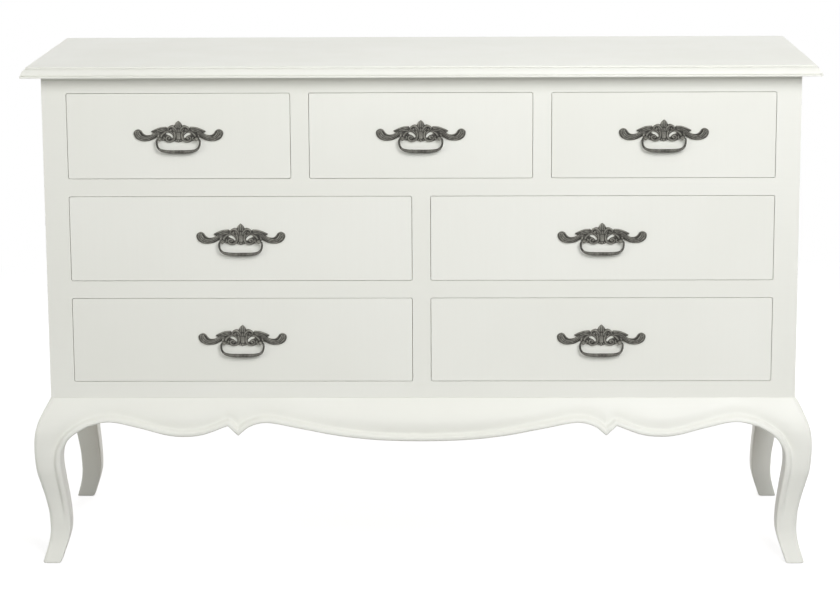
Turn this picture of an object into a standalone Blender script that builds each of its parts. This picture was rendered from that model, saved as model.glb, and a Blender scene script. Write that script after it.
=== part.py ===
"""A painted chest of seven drawers on cabriole legs, with cast bail handles.

X runs to the right, -Y to the front and Z up. The origin is on the floor, under the middle of the top.
All sizes are in metres.
"""

import math

import bmesh
import bpy
from mathutils import Matrix, Vector

# Gaps between pieces
SEAT_GAP = 0.0003
FRONT_GAP = 0.0015
BOX_CLEARANCE = 0.0015
BOX_END_CLEARANCE = 0.0030

# Case and face frame
CASE_WIDTH = 1.240
CASE_DEPTH = 0.390
LEG_HEIGHT = 0.282
STILE_WIDTH = 0.040
MULLION_WIDTH = 0.030
OUTER_RAIL_HEIGHT = 0.028
MIDDLE_RAIL_HEIGHT = 0.029
OPENING_HEIGHT = 0.142
FRAME_THICKNESS = 0.020
SIDE_PANEL_THICKNESS = 0.018
BACK_PANEL_THICKNESS = 0.009
BACK_PANEL_LAP = 0.009

# Top panel and its moulded edge
TOP_OVERHANG = 0.030
TOP_LIP_HEIGHT = 0.0100
TOP_LIP_STEP = 0.0015
TOP_OVOLO_RADIUS = 0.0062
TOP_FILLET_STEP = 0.0018
TOP_FILLET_HEIGHT = 0.0018
OVOLO_STEPS = 3

# Mortise and tenon joints of the face frame and the aprons
TENON_LENGTH = 0.018
MULLION_TENON_LENGTH = 0.010
TENON_THICKNESS = 0.008
TENON_SHOULDER = 0.005
MORTISE_CLEARANCE = 0.0003
APRON_TENON_LENGTH = 0.012
APRON_TENON_TOP = 0.010
APRON_TENON_HEIGHT = 0.034
APRON_TENON_SETBACK = 0.001

# Web frames that carry the drawers
WEB_THICKNESS = 0.018
WEB_REAR_RAIL_WIDTH = 0.055
RUNNER_LAP = 0.032
GUIDE_HEIGHT = 0.018
GUIDE_INSET = 0.001

# Drawers
DRAWER_FRONT_THICKNESS = 0.020
FRONT_LIP_THICKNESS = 0.008
DRAWER_SIDE_THICKNESS = 0.012
DRAWER_SIDE_HEIGHT = 0.116
DRAWER_BACK_DROP = 0.008
DRAWER_BOTTOM_THICKNESS = 0.0050
DRAWER_BOTTOM_RISE = 0.010
GROOVE_DEPTH = 0.006
CUT_OVERRUN = 0.004

# Cabriole legs
LEG_POST_WIDTH = 0.025
KNEE_SWELL = 0.0274
LEG_CORNER_RADIUS = 0.007
CORNER_BLOCK_WIDTH = 0.048
CORNER_BLOCK_HEIGHT = 0.060
BEAD_FADE_START = 0.062
BEAD_FADE_END = 0.105

# Aprons
APRON_DROP = 0.0744
APRON_BACK_DEPTH = 0.012
CORNER_ARCH_LENGTH = 0.077
BEAD_WIDTH = 0.0130
BEAD_RISE = 0.0022
COVE_DEPTH = 0.0014
BEAD_UNDERCUT = 0.0030
REAR_APRON_HEIGHT = 0.055
REAR_APRON_THICKNESS = 0.018

# Handles
PLATE_HALF_WIDTH = 0.0735
PLATE_RISE = 0.0296
PLATE_THICKNESS = 0.0024
RELIEF_SINK = 0.0004
PIVOT_DROP = 0.0040
BAIL_STANDOFF = 0.0080
BAIL_HALF_WIDTH = 0.0354
BAIL_DROP = 0.0210
BAIL_WIRE_RADIUS = 0.0014
BAIL_GRIP_RADIUS = 0.0032
POST_REACH = 0.0300
POST_RADIUS = 0.0031
PIN_CLEARANCE = 0.0003
PIN_DEPTH = 0.0018

# Counts and angles
ROW_DRAWERS = (3, 2, 2)
PATH_STEPS = 2
LEG_STEPS = 1
TUBE_SIDES_STEPS = 1
POST_SIDES = 10
SHARP_ANGLE = math.radians(35)

# Heights above the floor
ROWS = len(ROW_DRAWERS)
CASE_HEIGHT = ROWS * OPENING_HEIGHT + 2 * OUTER_RAIL_HEIGHT + (ROWS - 1) * MIDDLE_RAIL_HEIGHT
CASE_TOP = LEG_HEIGHT + CASE_HEIGHT
TOP_THICKNESS = TOP_LIP_HEIGHT + TOP_OVOLO_RADIUS + TOP_FILLET_HEIGHT
OPENING_PITCH = OPENING_HEIGHT + MIDDLE_RAIL_HEIGHT

# Planes of the case
HALF_GAP = SEAT_GAP / 2
FRONT_Y = -CASE_DEPTH / 2
FRAME_BACK_Y = FRONT_Y + FRAME_THICKNESS
BACK_Y = CASE_DEPTH / 2
BACK_PANEL_Y = BACK_Y - BACK_PANEL_THICKNESS
HALF_CASE = CASE_WIDTH / 2
HALF_INSIDE = HALF_CASE - SIDE_PANEL_THICKNESS
HALF_FRAME = HALF_CASE - STILE_WIDTH
RELIEF_HEIGHT = PLATE_THICKNESS - RELIEF_SINK

# Leg outline from the floor up: share of the leg height, outward reach as a share of the knee swell,
# inward reach as a share of the post width
LEG_SHARES = (
    (0.000, 0.740, 0.410),
    (0.050, 0.580, 0.600),
    (0.100, 0.430, 0.800),
    (0.145, 0.330, 0.950),
    (0.200, 0.278, 1.070),
    (0.287, 0.314, 1.068),
    (0.387, 0.475, 0.965),
    (0.490, 0.720, 0.820),
    (0.575, 0.915, 0.700),
    (0.635, 0.975, 0.672),
    (0.690, 1.000, 0.745),
    (0.736, 0.998, 0.985),
    (0.800, 0.940, 1.000),
    (0.867, 0.750, 1.000),
    (0.945, 0.350, 1.000),
    (1.000, 0.040, 1.000),
)
# Height share at which the inner edge of the leg turns into the apron's lower edge
LEG_SEAM_SHARE = 0.736

# Lower edge of an apron beside a leg: share of the corner arch length, share of the apron drop
CORNER_ARCH_SHARES = (
    (0.00, 1.000),
    (0.09, 0.866),
    (0.30, 0.702),
    (0.57, 0.577),
)
# Lower edge of the front apron from the corner arch to the middle, in stretches that meet at sharp corners:
# share of the stretch from the arch to the middle, share of the apron drop
FRONT_EDGE_SHARES = (
    ((0.000, 0.510), (0.095, 0.642), (0.180, 0.790), (0.239, 0.824), (0.300, 0.772), (0.375, 0.587)),
    ((0.409, 0.797), (0.448, 0.598), (0.505, 0.523), (0.606, 0.642), (0.736, 0.805), (0.863, 0.897),
     (1.000, 0.922)),
)
# The same for a side apron
SIDE_EDGE_SHARES = (
    ((0.000, 0.510), (0.350, 0.600), (0.700, 0.760), (1.000, 0.824)),
)

# Bead across an apron's edge: share of the bead width from the edge, share of the bead rise
BEAD_SHARES = ((0.12, 0.35), (0.45, 1.00), (0.80, 0.45))
# Places of the apron's face lines between its top and the bead
FACE_LINE_SHARES = (0.0, 0.36, 0.70)
# How far the bead's lines may lean towards the apron's end, as a share of the way to it
END_LEAN_SHARE = 0.6

# Right half of the handle plate's outline, in stretches that meet at sharp corners:
# share of the plate's half width, share of the plate's rise over the pivots
PLATE_EDGE_SHARES = (
    ((0.000, 1.000), (0.055, 0.900), (0.083, 0.785)),
    ((0.083, 0.785), (0.165, 0.735), (0.245, 0.655)),
    ((0.245, 0.655), (0.430, 0.610), (0.612, 0.462)),
    ((0.612, 0.462), (0.555, 0.350)),
    ((0.555, 0.350), (0.625, 0.205), (0.720, 0.200), (0.790, 0.400), (0.895, 0.550), (1.000, 0.330),
     (0.940, 0.020), (0.790, -0.150), (0.600, -0.095), (0.468, 0.080)),
    ((0.468, 0.080), (0.430, -0.085), (0.290, -0.165), (0.180, -0.222), (0.062, -0.140)),
    ((0.062, -0.140), (0.000, -0.212)),
)
# Right opening in the plate
PLATE_WINDOW_SHARES = (
    (0.262, 0.300), (0.200, 0.330), (0.138, 0.236), (0.114, 0.075),
    (0.145, 0.045), (0.166, 0.160), (0.212, 0.232),
)
# Raised work on the right half: share of the half width, share of the rise, radius as a share of the rise
PLATE_ARM_SHARES = (
    (0.965, 0.400, 0.080), (0.935, 0.370, 0.145), (0.880, 0.270, 0.185), (0.800, 0.090, 0.160),
    (0.690, 0.030, 0.135), (0.590, 0.100, 0.115), (0.490, 0.250, 0.095), (0.390, 0.390, 0.075),
    (0.300, 0.480, 0.055),
)
PLATE_LEAF_SHARES = (
    (0.265, 0.560, 0.045), (0.400, 0.520, 0.062), (0.510, 0.470, 0.055), (0.595, 0.445, 0.020),
)
PLATE_SCROLL_SHARES = (
    (0.225, 0.600, 0.050), (0.150, 0.650, 0.062), (0.085, 0.560, 0.062), (0.055, 0.330, 0.060),
    (0.065, 0.080, 0.060), (0.120, -0.110, 0.062), (0.200, -0.130, 0.058), (0.255, -0.010, 0.052),
    (0.215, 0.090, 0.045),
)
# Bud at the plate's top: height, half width, half height and depth as shares of the rise
PLATE_BUD_SHARES = (0.830, 0.135, 0.155, 0.150)
PLATE_BOSS_SHARES = (-0.060, 0.115, 0.110, 0.120)
RELIEF_FLATTEN_SHARE = 0.75
BUD_SEGMENTS = 8
BUD_RINGS = 6

# Half of the bail from a pivot to the middle of the grip: share of the half width, share of the drop,
# thickness from wire (0) to grip (1)
BAIL_SHARES = (
    (0.935, 0.000, 0.00), (0.985, -0.060, 0.00), (1.000, -0.250, 0.00), (0.985, -0.480, 0.05),
    (0.915, -0.720, 0.15), (0.780, -0.900, 0.40), (0.560, -0.975, 0.75), (0.280, -1.000, 0.95),
    (0.000, -1.000, 1.00),
)

PLACES = (
    ("upper_left", "upper_middle", "upper_right"),
    ("middle_left", "middle_right"),
    ("lower_left", "lower_right"),
)


def clear_scene():
    for thing in list(bpy.data.objects):
        bpy.data.objects.remove(thing, do_unlink=True)


def new_collection(name):
    group = bpy.data.collections.new(name)
    bpy.context.scene.collection.children.link(group)
    return group


def principled(name, colour, roughness, metallic=0.0):
    material = bpy.data.materials.new(name)
    material.use_nodes = True
    shader = material.node_tree.nodes["Principled BSDF"]
    shader.inputs["Base Color"].default_value = (*colour, 1.0)
    shader.inputs["Roughness"].default_value = roughness
    shader.inputs["Metallic"].default_value = metallic
    return material


def block_mesh(name, low, high, inset=HALF_GAP):
    """A rectangular block between two corners, each face drawn in by the inset."""
    low = Vector(low) + Vector((inset, inset, inset))
    high = Vector(high) - Vector((inset, inset, inset))
    place = Matrix.Translation((low + high) / 2) @ Matrix.Diagonal((*(high - low), 1))
    block = bmesh.new()
    bmesh.ops.create_cube(block, size=1, matrix=place)
    return finished(block, name)


def finished(shape, name):
    """The mesh of a bmesh, with its faces pointing out."""
    bmesh.ops.recalc_face_normals(shape, faces=shape.faces)
    if shape.calc_volume(signed=True) < 0:
        bmesh.ops.reverse_faces(shape, faces=shape.faces)
    mesh = bpy.data.meshes.new(name)
    shape.to_mesh(mesh)
    shape.free()
    return mesh


def add(name, mesh, material, group, parent=None):
    """A named piece of the chest, which may share its mesh with its twins."""
    if not mesh.materials:
        mesh.materials.append(material)
    piece = bpy.data.objects.new(name, mesh)
    piece.parent = parent
    group.objects.link(piece)
    return piece


def solid_of(curve, turn=Matrix.Identity(4)):
    """The closed mesh of a curve, its loose caps welded to its sides."""
    holder = bpy.data.objects.new(curve.name, curve)
    bpy.context.scene.collection.objects.link(holder)
    bpy.context.view_layer.update()
    seen = holder.evaluated_get(bpy.context.evaluated_depsgraph_get())
    mesh = bpy.data.meshes.new_from_object(seen)
    bpy.data.objects.remove(holder)
    shape = bmesh.new()
    shape.from_mesh(mesh)
    bmesh.ops.remove_doubles(shape, verts=shape.verts, dist=SEAT_GAP / 100)
    bmesh.ops.transform(shape, matrix=turn, verts=shape.verts)
    return finished(shape, curve.name)


def prism_mesh(name, outlines, low, high):
    """A flat outline, with any windows in it, extruded upwards from low to high."""
    curve = bpy.data.curves.new(name, "CURVE")
    curve.dimensions = "2D"
    curve.fill_mode = "BOTH"
    curve.extrude = (high - low) / 2
    for outline in outlines:
        spline = curve.splines.new("POLY")
        spline.points.add(len(outline) - 1)
        for point, (x, y) in zip(spline.points, outline):
            point.co = (x, y, 0, 1)
        spline.use_cyclic_u = True
    return solid_of(curve, Matrix.Translation((0, 0, (low + high) / 2)))


def tube_mesh(name, path, turn=Matrix.Identity(4)):
    """A round bar along points, each given with its own radius."""
    thickest = max(radius for _, radius in path)
    curve = bpy.data.curves.new(name, "CURVE")
    curve.dimensions = "3D"
    curve.bevel_depth = thickest
    curve.bevel_resolution = TUBE_SIDES_STEPS
    curve.use_fill_caps = True
    spline = curve.splines.new("POLY")
    spline.points.add(len(path) - 1)
    for point, (place, radius) in zip(spline.points, path):
        point.co = (*place, 1)
        point.radius = radius / thickest
    return solid_of(curve, turn)


def combined(name, base, others, operation):
    """One mesh made of a base mesh and others joined to it or cut from it in turn."""
    body = bpy.data.objects.new(name, base)
    helpers = [bpy.data.objects.new(other.name, other) for other in others]
    for thing in (body, *helpers):
        bpy.context.scene.collection.objects.link(thing)
    for helper in helpers:
        change = body.modifiers.new(helper.name, "BOOLEAN")
        change.operation = operation
        change.object = helper
    bpy.context.view_layer.update()
    seen = body.evaluated_get(bpy.context.evaluated_depsgraph_get())
    mesh = bpy.data.meshes.new_from_object(seen)
    mesh.name = name
    for thing in (body, *helpers):
        bpy.data.objects.remove(thing)
    return mesh


def smooth_path(points, steps):
    """Points on a smooth curve through the given ones, with that many steps between neighbours."""
    points = [Vector(point) for point in points]
    before = [2 * points[0] - points[1], *points[:-1]]
    after = [*points[1:], 2 * points[-1] - points[-2]]
    tangents = [(b - a) / 2 for a, b in zip(before, after)]
    path = []
    for k in range(len(points) - 1):
        start, end = points[k], points[k + 1]
        for step in range(steps):
            t = step / steps
            path.append(
                (2 * t**3 - 3 * t**2 + 1) * start
                + (t**3 - 2 * t**2 + t) * tangents[k]
                + (3 * t**2 - 2 * t**3) * end
                + (t**3 - t**2) * tangents[k + 1]
            )
    path.append(points[-1])
    return path


def loft_mesh(name, sections, turn=Matrix.Identity(4)):
    """A closed body through ring sections that have as many points each."""
    shape = bmesh.new()
    rings = [[shape.verts.new(point) for point in section] for section in sections]
    for ring, following in zip(rings, rings[1:]):
        for k, vertex in enumerate(ring):
            nearby = (k + 1) % len(ring)
            shape.faces.new((vertex, ring[nearby], following[nearby], following[k]))
    shape.faces.new(rings[0])
    shape.faces.new(rings[-1])
    bmesh.ops.transform(shape, matrix=turn, verts=shape.verts)
    return finished(shape, name)


def span(low, high):
    """The two ends of a length that leaves half a seat gap free at each end."""
    return low + HALF_GAP, high - HALF_GAP


def row_floor(row):
    """Height of the lower edge of the openings in a row, counted from the top."""
    return CASE_TOP - OUTER_RAIL_HEIGHT - OPENING_HEIGHT - row * OPENING_PITCH


def opening_width(row):
    count = ROW_DRAWERS[row]
    return (2 * HALF_FRAME - (count - 1) * MULLION_WIDTH) / count


def opening_centres(row):
    pitch = opening_width(row) + MULLION_WIDTH
    return [(k - (ROW_DRAWERS[row] - 1) / 2) * pitch for k in range(ROW_DRAWERS[row])]


def mullion_centres(row):
    centres = opening_centres(row)
    return [(a + b) / 2 for a, b in zip(centres, centres[1:])]


def leg_reach(height):
    """How far a leg's outer face stands proud of the case, and how far its inner face reaches in."""
    share = height / LEG_HEIGHT
    for (low, out_low, in_low), (high, out_high, in_high) in zip(LEG_SHARES, LEG_SHARES[1:]):
        if share <= high:
            t = max(0.0, (share - low) / (high - low))
            outward = out_low + t * (out_high - out_low)
            inward = in_low + t * (in_high - in_low)
            return outward * KNEE_SWELL, inward * LEG_POST_WIDTH
    return LEG_SHARES[-1][1] * KNEE_SWELL, LEG_POST_WIDTH


def bead_profile(distance):
    """Height of the beaded face over the plain one, at a distance from the lower edge."""
    share = distance / BEAD_WIDTH
    rises = [(n, rise * BEAD_RISE) for n, rise in BEAD_SHARES]
    stations = [(0.0, -BEAD_UNDERCUT), *rises, (1.0, -COVE_DEPTH)]
    for (low, from_rise), (high, to_rise) in zip(stations, stations[1:]):
        if share <= high:
            return from_rise + (share - low) / (high - low) * (to_rise - from_rise)
    return -COVE_DEPTH * max(0.0, 2.0 - share)


def leg_face(height, outward, inward):
    """Points across one visible face of a leg, from its inner edge to the outer corner's round."""
    fade = min(1.0, max(0.0, (height - BEAD_FADE_START) / (BEAD_FADE_END - BEAD_FADE_START)))
    above = max(0.0, height - LEG_SEAM_SHARE * LEG_HEIGHT)
    points = []
    for k, distance in enumerate((0.0, *(n * BEAD_WIDTH for n, _ in BEAD_SHARES), BEAD_WIDTH)):
        along = math.sqrt(max(0.0, distance**2 - above**2))
        along = max(along, k * SEAT_GAP)
        rise = fade * bead_profile(math.hypot(along, above))
        points.append((inward - along, -outward - rise))
    points.append((-outward + LEG_CORNER_RADIUS, -outward))
    return points


def leg_section(height, outward, inward):
    """One level ring of a leg, with the case corner at the origin and the inside towards +X +Y."""
    front = leg_face(height, outward, inward)
    corner = -outward + LEG_CORNER_RADIUS * (1 - math.sqrt(1 / 2))
    side = [(y, x) for x, y in reversed(front)]
    ring = [(inward, inward), *front, (corner, corner), *side]
    return [(x, y, height) for x, y in ring]


def leg_mesh(name, side, end):
    """A cabriole leg: a square one that swells at the knee, thins above the foot and flares to the floor."""
    rows = smooth_path(LEG_SHARES, LEG_STEPS)
    sections = [
        leg_section(
            min(height * LEG_HEIGHT, LEG_HEIGHT - SEAT_GAP), outward * KNEE_SWELL, inward * LEG_POST_WIDTH
        )
        for height, outward, inward in rows
    ]
    corner = Matrix.Diagonal((-side, -end, 1, 1))
    place = Matrix.Translation((side * HALF_CASE, end * CASE_DEPTH / 2, 0)) @ corner
    leg = loft_mesh(name, sections, place)
    inner = APRON_BACK_DEPTH + SEAT_GAP
    top = LEG_HEIGHT - SEAT_GAP
    block = block_mesh(
        name + "_corner_block",
        (inner, inner, top - CORNER_BLOCK_HEIGHT),
        (CORNER_BLOCK_WIDTH, CORNER_BLOCK_WIDTH, top),
        inset=0,
    )
    block.transform(place)
    if side * end < 0:
        block.flip_normals()
    leg = combined(name, leg, [block], "UNION")
    return combined(name, leg, leg_mortises(side, end), "DIFFERENCE")


def leg_mortises(side, end):
    """The cuts in a leg's post for the tenons of the aprons that meet there."""
    half_front, half_side = apron_spans()
    mortises = []
    if end < 0:
        front = apron_tenon(half_front, side, MORTISE_CLEARANCE)
        front.transform(Matrix.Translation((0, FRONT_Y, LEG_HEIGHT)))
        mortises.append(front)
    aside = apron_tenon(half_side, side * end, MORTISE_CLEARANCE)
    turn = Matrix.Rotation(side * math.pi / 2, 4, "Z")
    aside.transform(Matrix.Translation((side * HALF_CASE, 0, LEG_HEIGHT)) @ turn)
    mortises.append(aside)
    return mortises


def edge_line(stretches, half_span):
    """Lower edge of an apron as points (along, below the case), with the middle at 0."""
    arch = [(-half_span + a * CORNER_ARCH_LENGTH, d * APRON_DROP) for a, d in CORNER_ARCH_SHARES]
    rest = half_span - CORNER_ARCH_LENGTH
    halves = [[(-rest + a * rest, d * APRON_DROP) for a, d in stretch] for stretch in stretches]
    halves[0] = arch + halves[0]
    left, middle = halves[:-1], halves[-1]
    whole = middle + [(-x, d) for x, d in reversed(middle[:-1])]
    right = [[(-x, d) for x, d in reversed(stretch)] for stretch in reversed(left)]
    line = []
    for stretch in (*left, whole, *right):
        line.extend(smooth_path(stretch, PATH_STEPS))
    return line


def edge_normals(line):
    """Upward mitre direction at each point of an apron's lower edge, long enough to keep the bead's width."""
    before = [Vector((2 * line[0].x - line[1].x, line[1].y)), *line[:-1]]
    after = [*line[1:], Vector((2 * line[-1].x - line[-2].x, line[-2].y))]
    normals = []
    for a, point, b in zip(before, line, after):
        first, second = (point - a).normalized(), (b - point).normalized()
        across = [Vector((edge.y, -edge.x)) for edge in (first, second)]
        middle = (across[0] + across[1]).normalized()
        normals.append(middle / middle.dot(across[0]))
    return normals


def bead_place(point, mitre, distance, half_span):
    """The place that far in from the edge, kept from leaning past the apron's end."""
    room = END_LEAN_SHARE * max(0.0, half_span - abs(point.x))
    lean = mitre.x * distance
    if abs(lean) <= room:
        return point + mitre * distance
    lean = math.copysign(room, lean)
    across = mitre.normalized()
    return point + Vector((lean, (distance - lean * across.x) / across.y))


def apron_sections(stretches, half_span):
    """Upright rings along an apron: the case's face is y = 0, outward is -Y, and z = 0 is its top."""
    line = edge_line(stretches, half_span)
    top = -SEAT_GAP
    sections = []
    for point, normal in zip(line, edge_normals(line)):
        ring = [(point.x, APRON_BACK_DEPTH, top)]
        inner = bead_place(point, normal, BEAD_WIDTH, half_span)
        for share in FACE_LINE_SHARES:
            x = point.x + share * (inner.x - point.x)
            z = top - share * (inner.y + top)
            ring.append((x, -leg_reach(LEG_HEIGHT + z)[0], z))
        for distance in (BEAD_WIDTH, *(n * BEAD_WIDTH for n, _ in reversed(BEAD_SHARES)), 0.0):
            place = bead_place(point, normal, distance, half_span)
            face = leg_reach(LEG_HEIGHT - place.y)[0]
            ring.append((place.x, -face - bead_profile(distance), -place.y))
        ring.append((point.x, APRON_BACK_DEPTH, -point.y))
        sections.append(ring)
    return sections


def top_panel(group, paint):
    """The top: a board with an ovolo moulding on its front and sides, and a plain rear edge."""
    edge = [(0.0, 0.0), (0.0, TOP_LIP_HEIGHT), (TOP_LIP_STEP, TOP_LIP_HEIGHT)]
    for step in range(1, OVOLO_STEPS + 1):
        turn = math.pi / 2 * step / OVOLO_STEPS
        inset = TOP_LIP_STEP + TOP_OVOLO_RADIUS * (1 - math.cos(turn))
        edge.append((inset, TOP_LIP_HEIGHT + TOP_OVOLO_RADIUS * math.sin(turn)))
    last_inset, last_height = edge[-1]
    edge.append((last_inset + TOP_FILLET_STEP, last_height))
    edge.append((last_inset + TOP_FILLET_STEP, last_height + TOP_FILLET_HEIGHT))
    half_width = HALF_CASE + TOP_OVERHANG
    front = FRONT_Y - TOP_OVERHANG
    rear = BACK_Y + TOP_OVERHANG
    sections = []
    for inset, rise in edge:
        side, low, z = half_width - inset, front + inset, CASE_TOP + rise
        sections.append([(-side, low, z), (side, low, z), (side, rear, z), (-side, rear, z)])
    add("top_panel", loft_mesh("top_panel", sections), paint, group)


def side_panels(group, paint):
    """Left and right panels, each with a rebate for the back panel."""
    for name, side in (("left_side_panel", -1), ("right_side_panel", 1)):
        low, high = span(FRAME_BACK_Y, BACK_Y)
        outer, inner = side * (HALF_CASE - HALF_GAP), side * (HALF_INSIDE + HALF_GAP)
        lap = side * (HALF_INSIDE + BACK_PANEL_LAP + HALF_GAP)
        shelf = BACK_PANEL_Y - HALF_GAP
        outline = [(outer, low), (inner, low), (inner, shelf), (lap, shelf), (lap, high), (outer, high)]
        add(name, prism_mesh(name, [outline], *span(LEG_HEIGHT, CASE_TOP)), paint, group)


def back_panel(group, board):
    reach = HALF_INSIDE + BACK_PANEL_LAP
    low, high = (-reach, BACK_PANEL_Y, LEG_HEIGHT), (reach, BACK_Y, CASE_TOP)
    add("back_panel", block_mesh("back_panel", low, high), board, group)


def rail_tenon(side, low_z, high_z, grow=0.0):
    """The tenon at one end of a rail, or the mortise in the stile when it is grown by the clearance."""
    root, tip = HALF_FRAME - SEAT_GAP, HALF_FRAME + TENON_LENGTH
    low_x, high_x = sorted((side * (root - TENON_SHOULDER), side * tip))
    middle = FRONT_Y + FRAME_THICKNESS / 2
    low = (low_x, middle - TENON_THICKNESS / 2, low_z + TENON_SHOULDER)
    high = (high_x, middle + TENON_THICKNESS / 2, high_z - TENON_SHOULDER)
    return block_mesh("tenon", low, high, inset=-grow)


def mullion_tenon(centre, level, way, grow=0.0):
    """The tenon of a mullion that goes up or down into a rail at a level, or its mortise when grown."""
    low_z, high_z = sorted((level - way * TENON_SHOULDER, level + way * MULLION_TENON_LENGTH))
    middle = FRONT_Y + FRAME_THICKNESS / 2
    reach = MULLION_WIDTH / 2 - TENON_SHOULDER
    low = (centre - reach, middle - TENON_THICKNESS / 2, low_z)
    high = (centre + reach, middle + TENON_THICKNESS / 2, high_z)
    return block_mesh("tenon", low, high, inset=-grow)


def rail_levels():
    """Name, lower edge and upper edge of each rail, from the top down."""
    levels = [("top_rail", CASE_TOP - OUTER_RAIL_HEIGHT, CASE_TOP)]
    for row, name in enumerate(("upper_rail", "lower_rail")):
        levels.append((name, row_floor(row) - MIDDLE_RAIL_HEIGHT, row_floor(row)))
    levels.append(("bottom_rail", LEG_HEIGHT, LEG_HEIGHT + OUTER_RAIL_HEIGHT))
    return levels


def stiles(group, paint):
    """Upright corner pieces, mortised for the rails."""
    for name, side in (("left_stile", -1), ("right_stile", 1)):
        low_x, high_x = sorted((side * HALF_CASE, side * HALF_FRAME))
        low, high = (low_x, FRONT_Y, LEG_HEIGHT), (high_x, FRAME_BACK_Y, CASE_TOP)
        post = block_mesh(name, low, high)
        mortises = [rail_tenon(side, floor, top, MORTISE_CLEARANCE) for _, floor, top in rail_levels()]
        add(name, combined(name, post, mortises, "DIFFERENCE"), paint, group)


def rails(group, paint):
    """Level pieces over, between and under the rows, tenoned at their ends and mortised for the mullions."""
    for level, (name, low_z, high_z) in enumerate(rail_levels()):
        low, high = (-HALF_FRAME, FRONT_Y, low_z), (HALF_FRAME, FRAME_BACK_Y, high_z)
        rail = block_mesh(name, low, high)
        rail = combined(name, rail, [rail_tenon(side, low_z, high_z) for side in (-1, 1)], "UNION")
        above = mullion_centres(level - 1) if level > 0 else []
        below = mullion_centres(level) if level < ROWS else []
        mortises = [mullion_tenon(centre, high_z, -1, MORTISE_CLEARANCE) for centre in above]
        mortises += [mullion_tenon(centre, low_z, 1, MORTISE_CLEARANCE) for centre in below]
        add(name, combined(name, rail, mortises, "DIFFERENCE"), paint, group)


def mullions(group, paint):
    """Short uprights between the drawers of a row, tenoned into the rails."""
    names = (("upper_mullion_left", "upper_mullion_right"), ("middle_mullion",), ("lower_mullion",))
    for row, row_names in enumerate(names):
        floor, top = row_floor(row), row_floor(row) + OPENING_HEIGHT
        for name, centre in zip(row_names, mullion_centres(row)):
            low = (centre - MULLION_WIDTH / 2, FRONT_Y, floor)
            high = (centre + MULLION_WIDTH / 2, FRAME_BACK_Y, top)
            tenons = [mullion_tenon(centre, floor, -1), mullion_tenon(centre, top, 1)]
            mullion = combined(name, block_mesh(name, low, high), tenons, "UNION")
            add(name, mullion, paint, group)


def web_frames(group, timber):
    """Under each row, a rear rail with forward runners, and guides that keep the drawers in line."""
    for row, name in enumerate(("upper_web_frame", "middle_web_frame", "lower_web_frame")):
        top = row_floor(row) - HALF_GAP
        low, high = span(FRAME_BACK_Y, BACK_PANEL_Y)
        edge = HALF_FRAME - RUNNER_LAP
        runners = [(-HALF_INSIDE + HALF_GAP, -edge)]
        for centre in mullion_centres(row):
            reach = MULLION_WIDTH / 2 + RUNNER_LAP
            runners.append((centre - reach, centre + reach))
        runners.append((edge, HALF_INSIDE - HALF_GAP))
        outline = [(runners[0][0], low)]
        for (_, right), (left, _) in zip(runners, runners[1:]):
            inner = high - WEB_REAR_RAIL_WIDTH
            outline += [(right, low), (right, inner), (left, inner), (left, low)]
        outline += [(runners[-1][1], low), (runners[-1][1], high), (runners[0][0], high)]
        frame = prism_mesh(name, [outline], top - WEB_THICKNESS, top)
        outer = HALF_INSIDE - GUIDE_INSET
        strips = [(-outer, -HALF_FRAME), (HALF_FRAME, outer)]
        strips += [(c - MULLION_WIDTH / 2, c + MULLION_WIDTH / 2) for c in mullion_centres(row)]
        sunk = top - WEB_THICKNESS / 2
        guides = [
            block_mesh(
                "guide",
                (left, low + GUIDE_INSET, sunk),
                (right, high - GUIDE_INSET, top + GUIDE_HEIGHT),
                inset=0,
            )
            for left, right in strips
        ]
        add(name, combined(name, frame, guides, "UNION"), timber, group)


def apron_tenon(half_span, side, grow=0.0):
    """The tenon at one end of an apron, in the apron's own frame, or the mortise in the leg when grown."""
    low_x, high_x = sorted((side * (half_span - TENON_SHOULDER), side * (half_span + APRON_TENON_LENGTH)))
    low = (low_x, APRON_TENON_SETBACK, -APRON_TENON_TOP - APRON_TENON_HEIGHT)
    high = (high_x, APRON_TENON_SETBACK + TENON_THICKNESS, -APRON_TENON_TOP)
    return block_mesh("tenon", low, high, inset=-grow)


def apron_spans():
    """Half lengths of the front and side aprons, between the legs' posts."""
    return HALF_CASE - LEG_POST_WIDTH - SEAT_GAP, CASE_DEPTH / 2 - LEG_POST_WIDTH - SEAT_GAP


def apron_mesh(name, stretches, half_span):
    board = loft_mesh(name, apron_sections(stretches, half_span))
    return combined(name, board, [apron_tenon(half_span, side) for side in (-1, 1)], "UNION")


def aprons(group, paint):
    """Scalloped and beaded boards under the front and sides, and a plain board behind."""
    half_front, half_side = apron_spans()
    front = apron_mesh("front_apron", FRONT_EDGE_SHARES, half_front)
    front.transform(Matrix.Translation((0, FRONT_Y, LEG_HEIGHT)))
    add("front_apron", front, paint, group)
    for name, side in (("left_apron", -1), ("right_apron", 1)):
        board = apron_mesh(name, SIDE_EDGE_SHARES, half_side)
        turn = Matrix.Rotation(side * math.pi / 2, 4, "Z")
        board.transform(Matrix.Translation((side * HALF_CASE, 0, LEG_HEIGHT)) @ turn)
        add(name, board, paint, group)
    reach = HALF_CASE - CORNER_BLOCK_WIDTH
    low = (-reach, BACK_Y - REAR_APRON_THICKNESS, LEG_HEIGHT - REAR_APRON_HEIGHT)
    high = (reach, BACK_Y, LEG_HEIGHT - HALF_GAP)
    add("rear_apron", block_mesh("rear_apron", low, high), paint, group)


def legs(group, paint):
    for end_name, end in (("front", -1), ("rear", 1)):
        for side_name, side in (("left", -1), ("right", 1)):
            name = f"leg_{end_name}_{side_name}"
            add(name, leg_mesh(name, side, end), paint, group)


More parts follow.
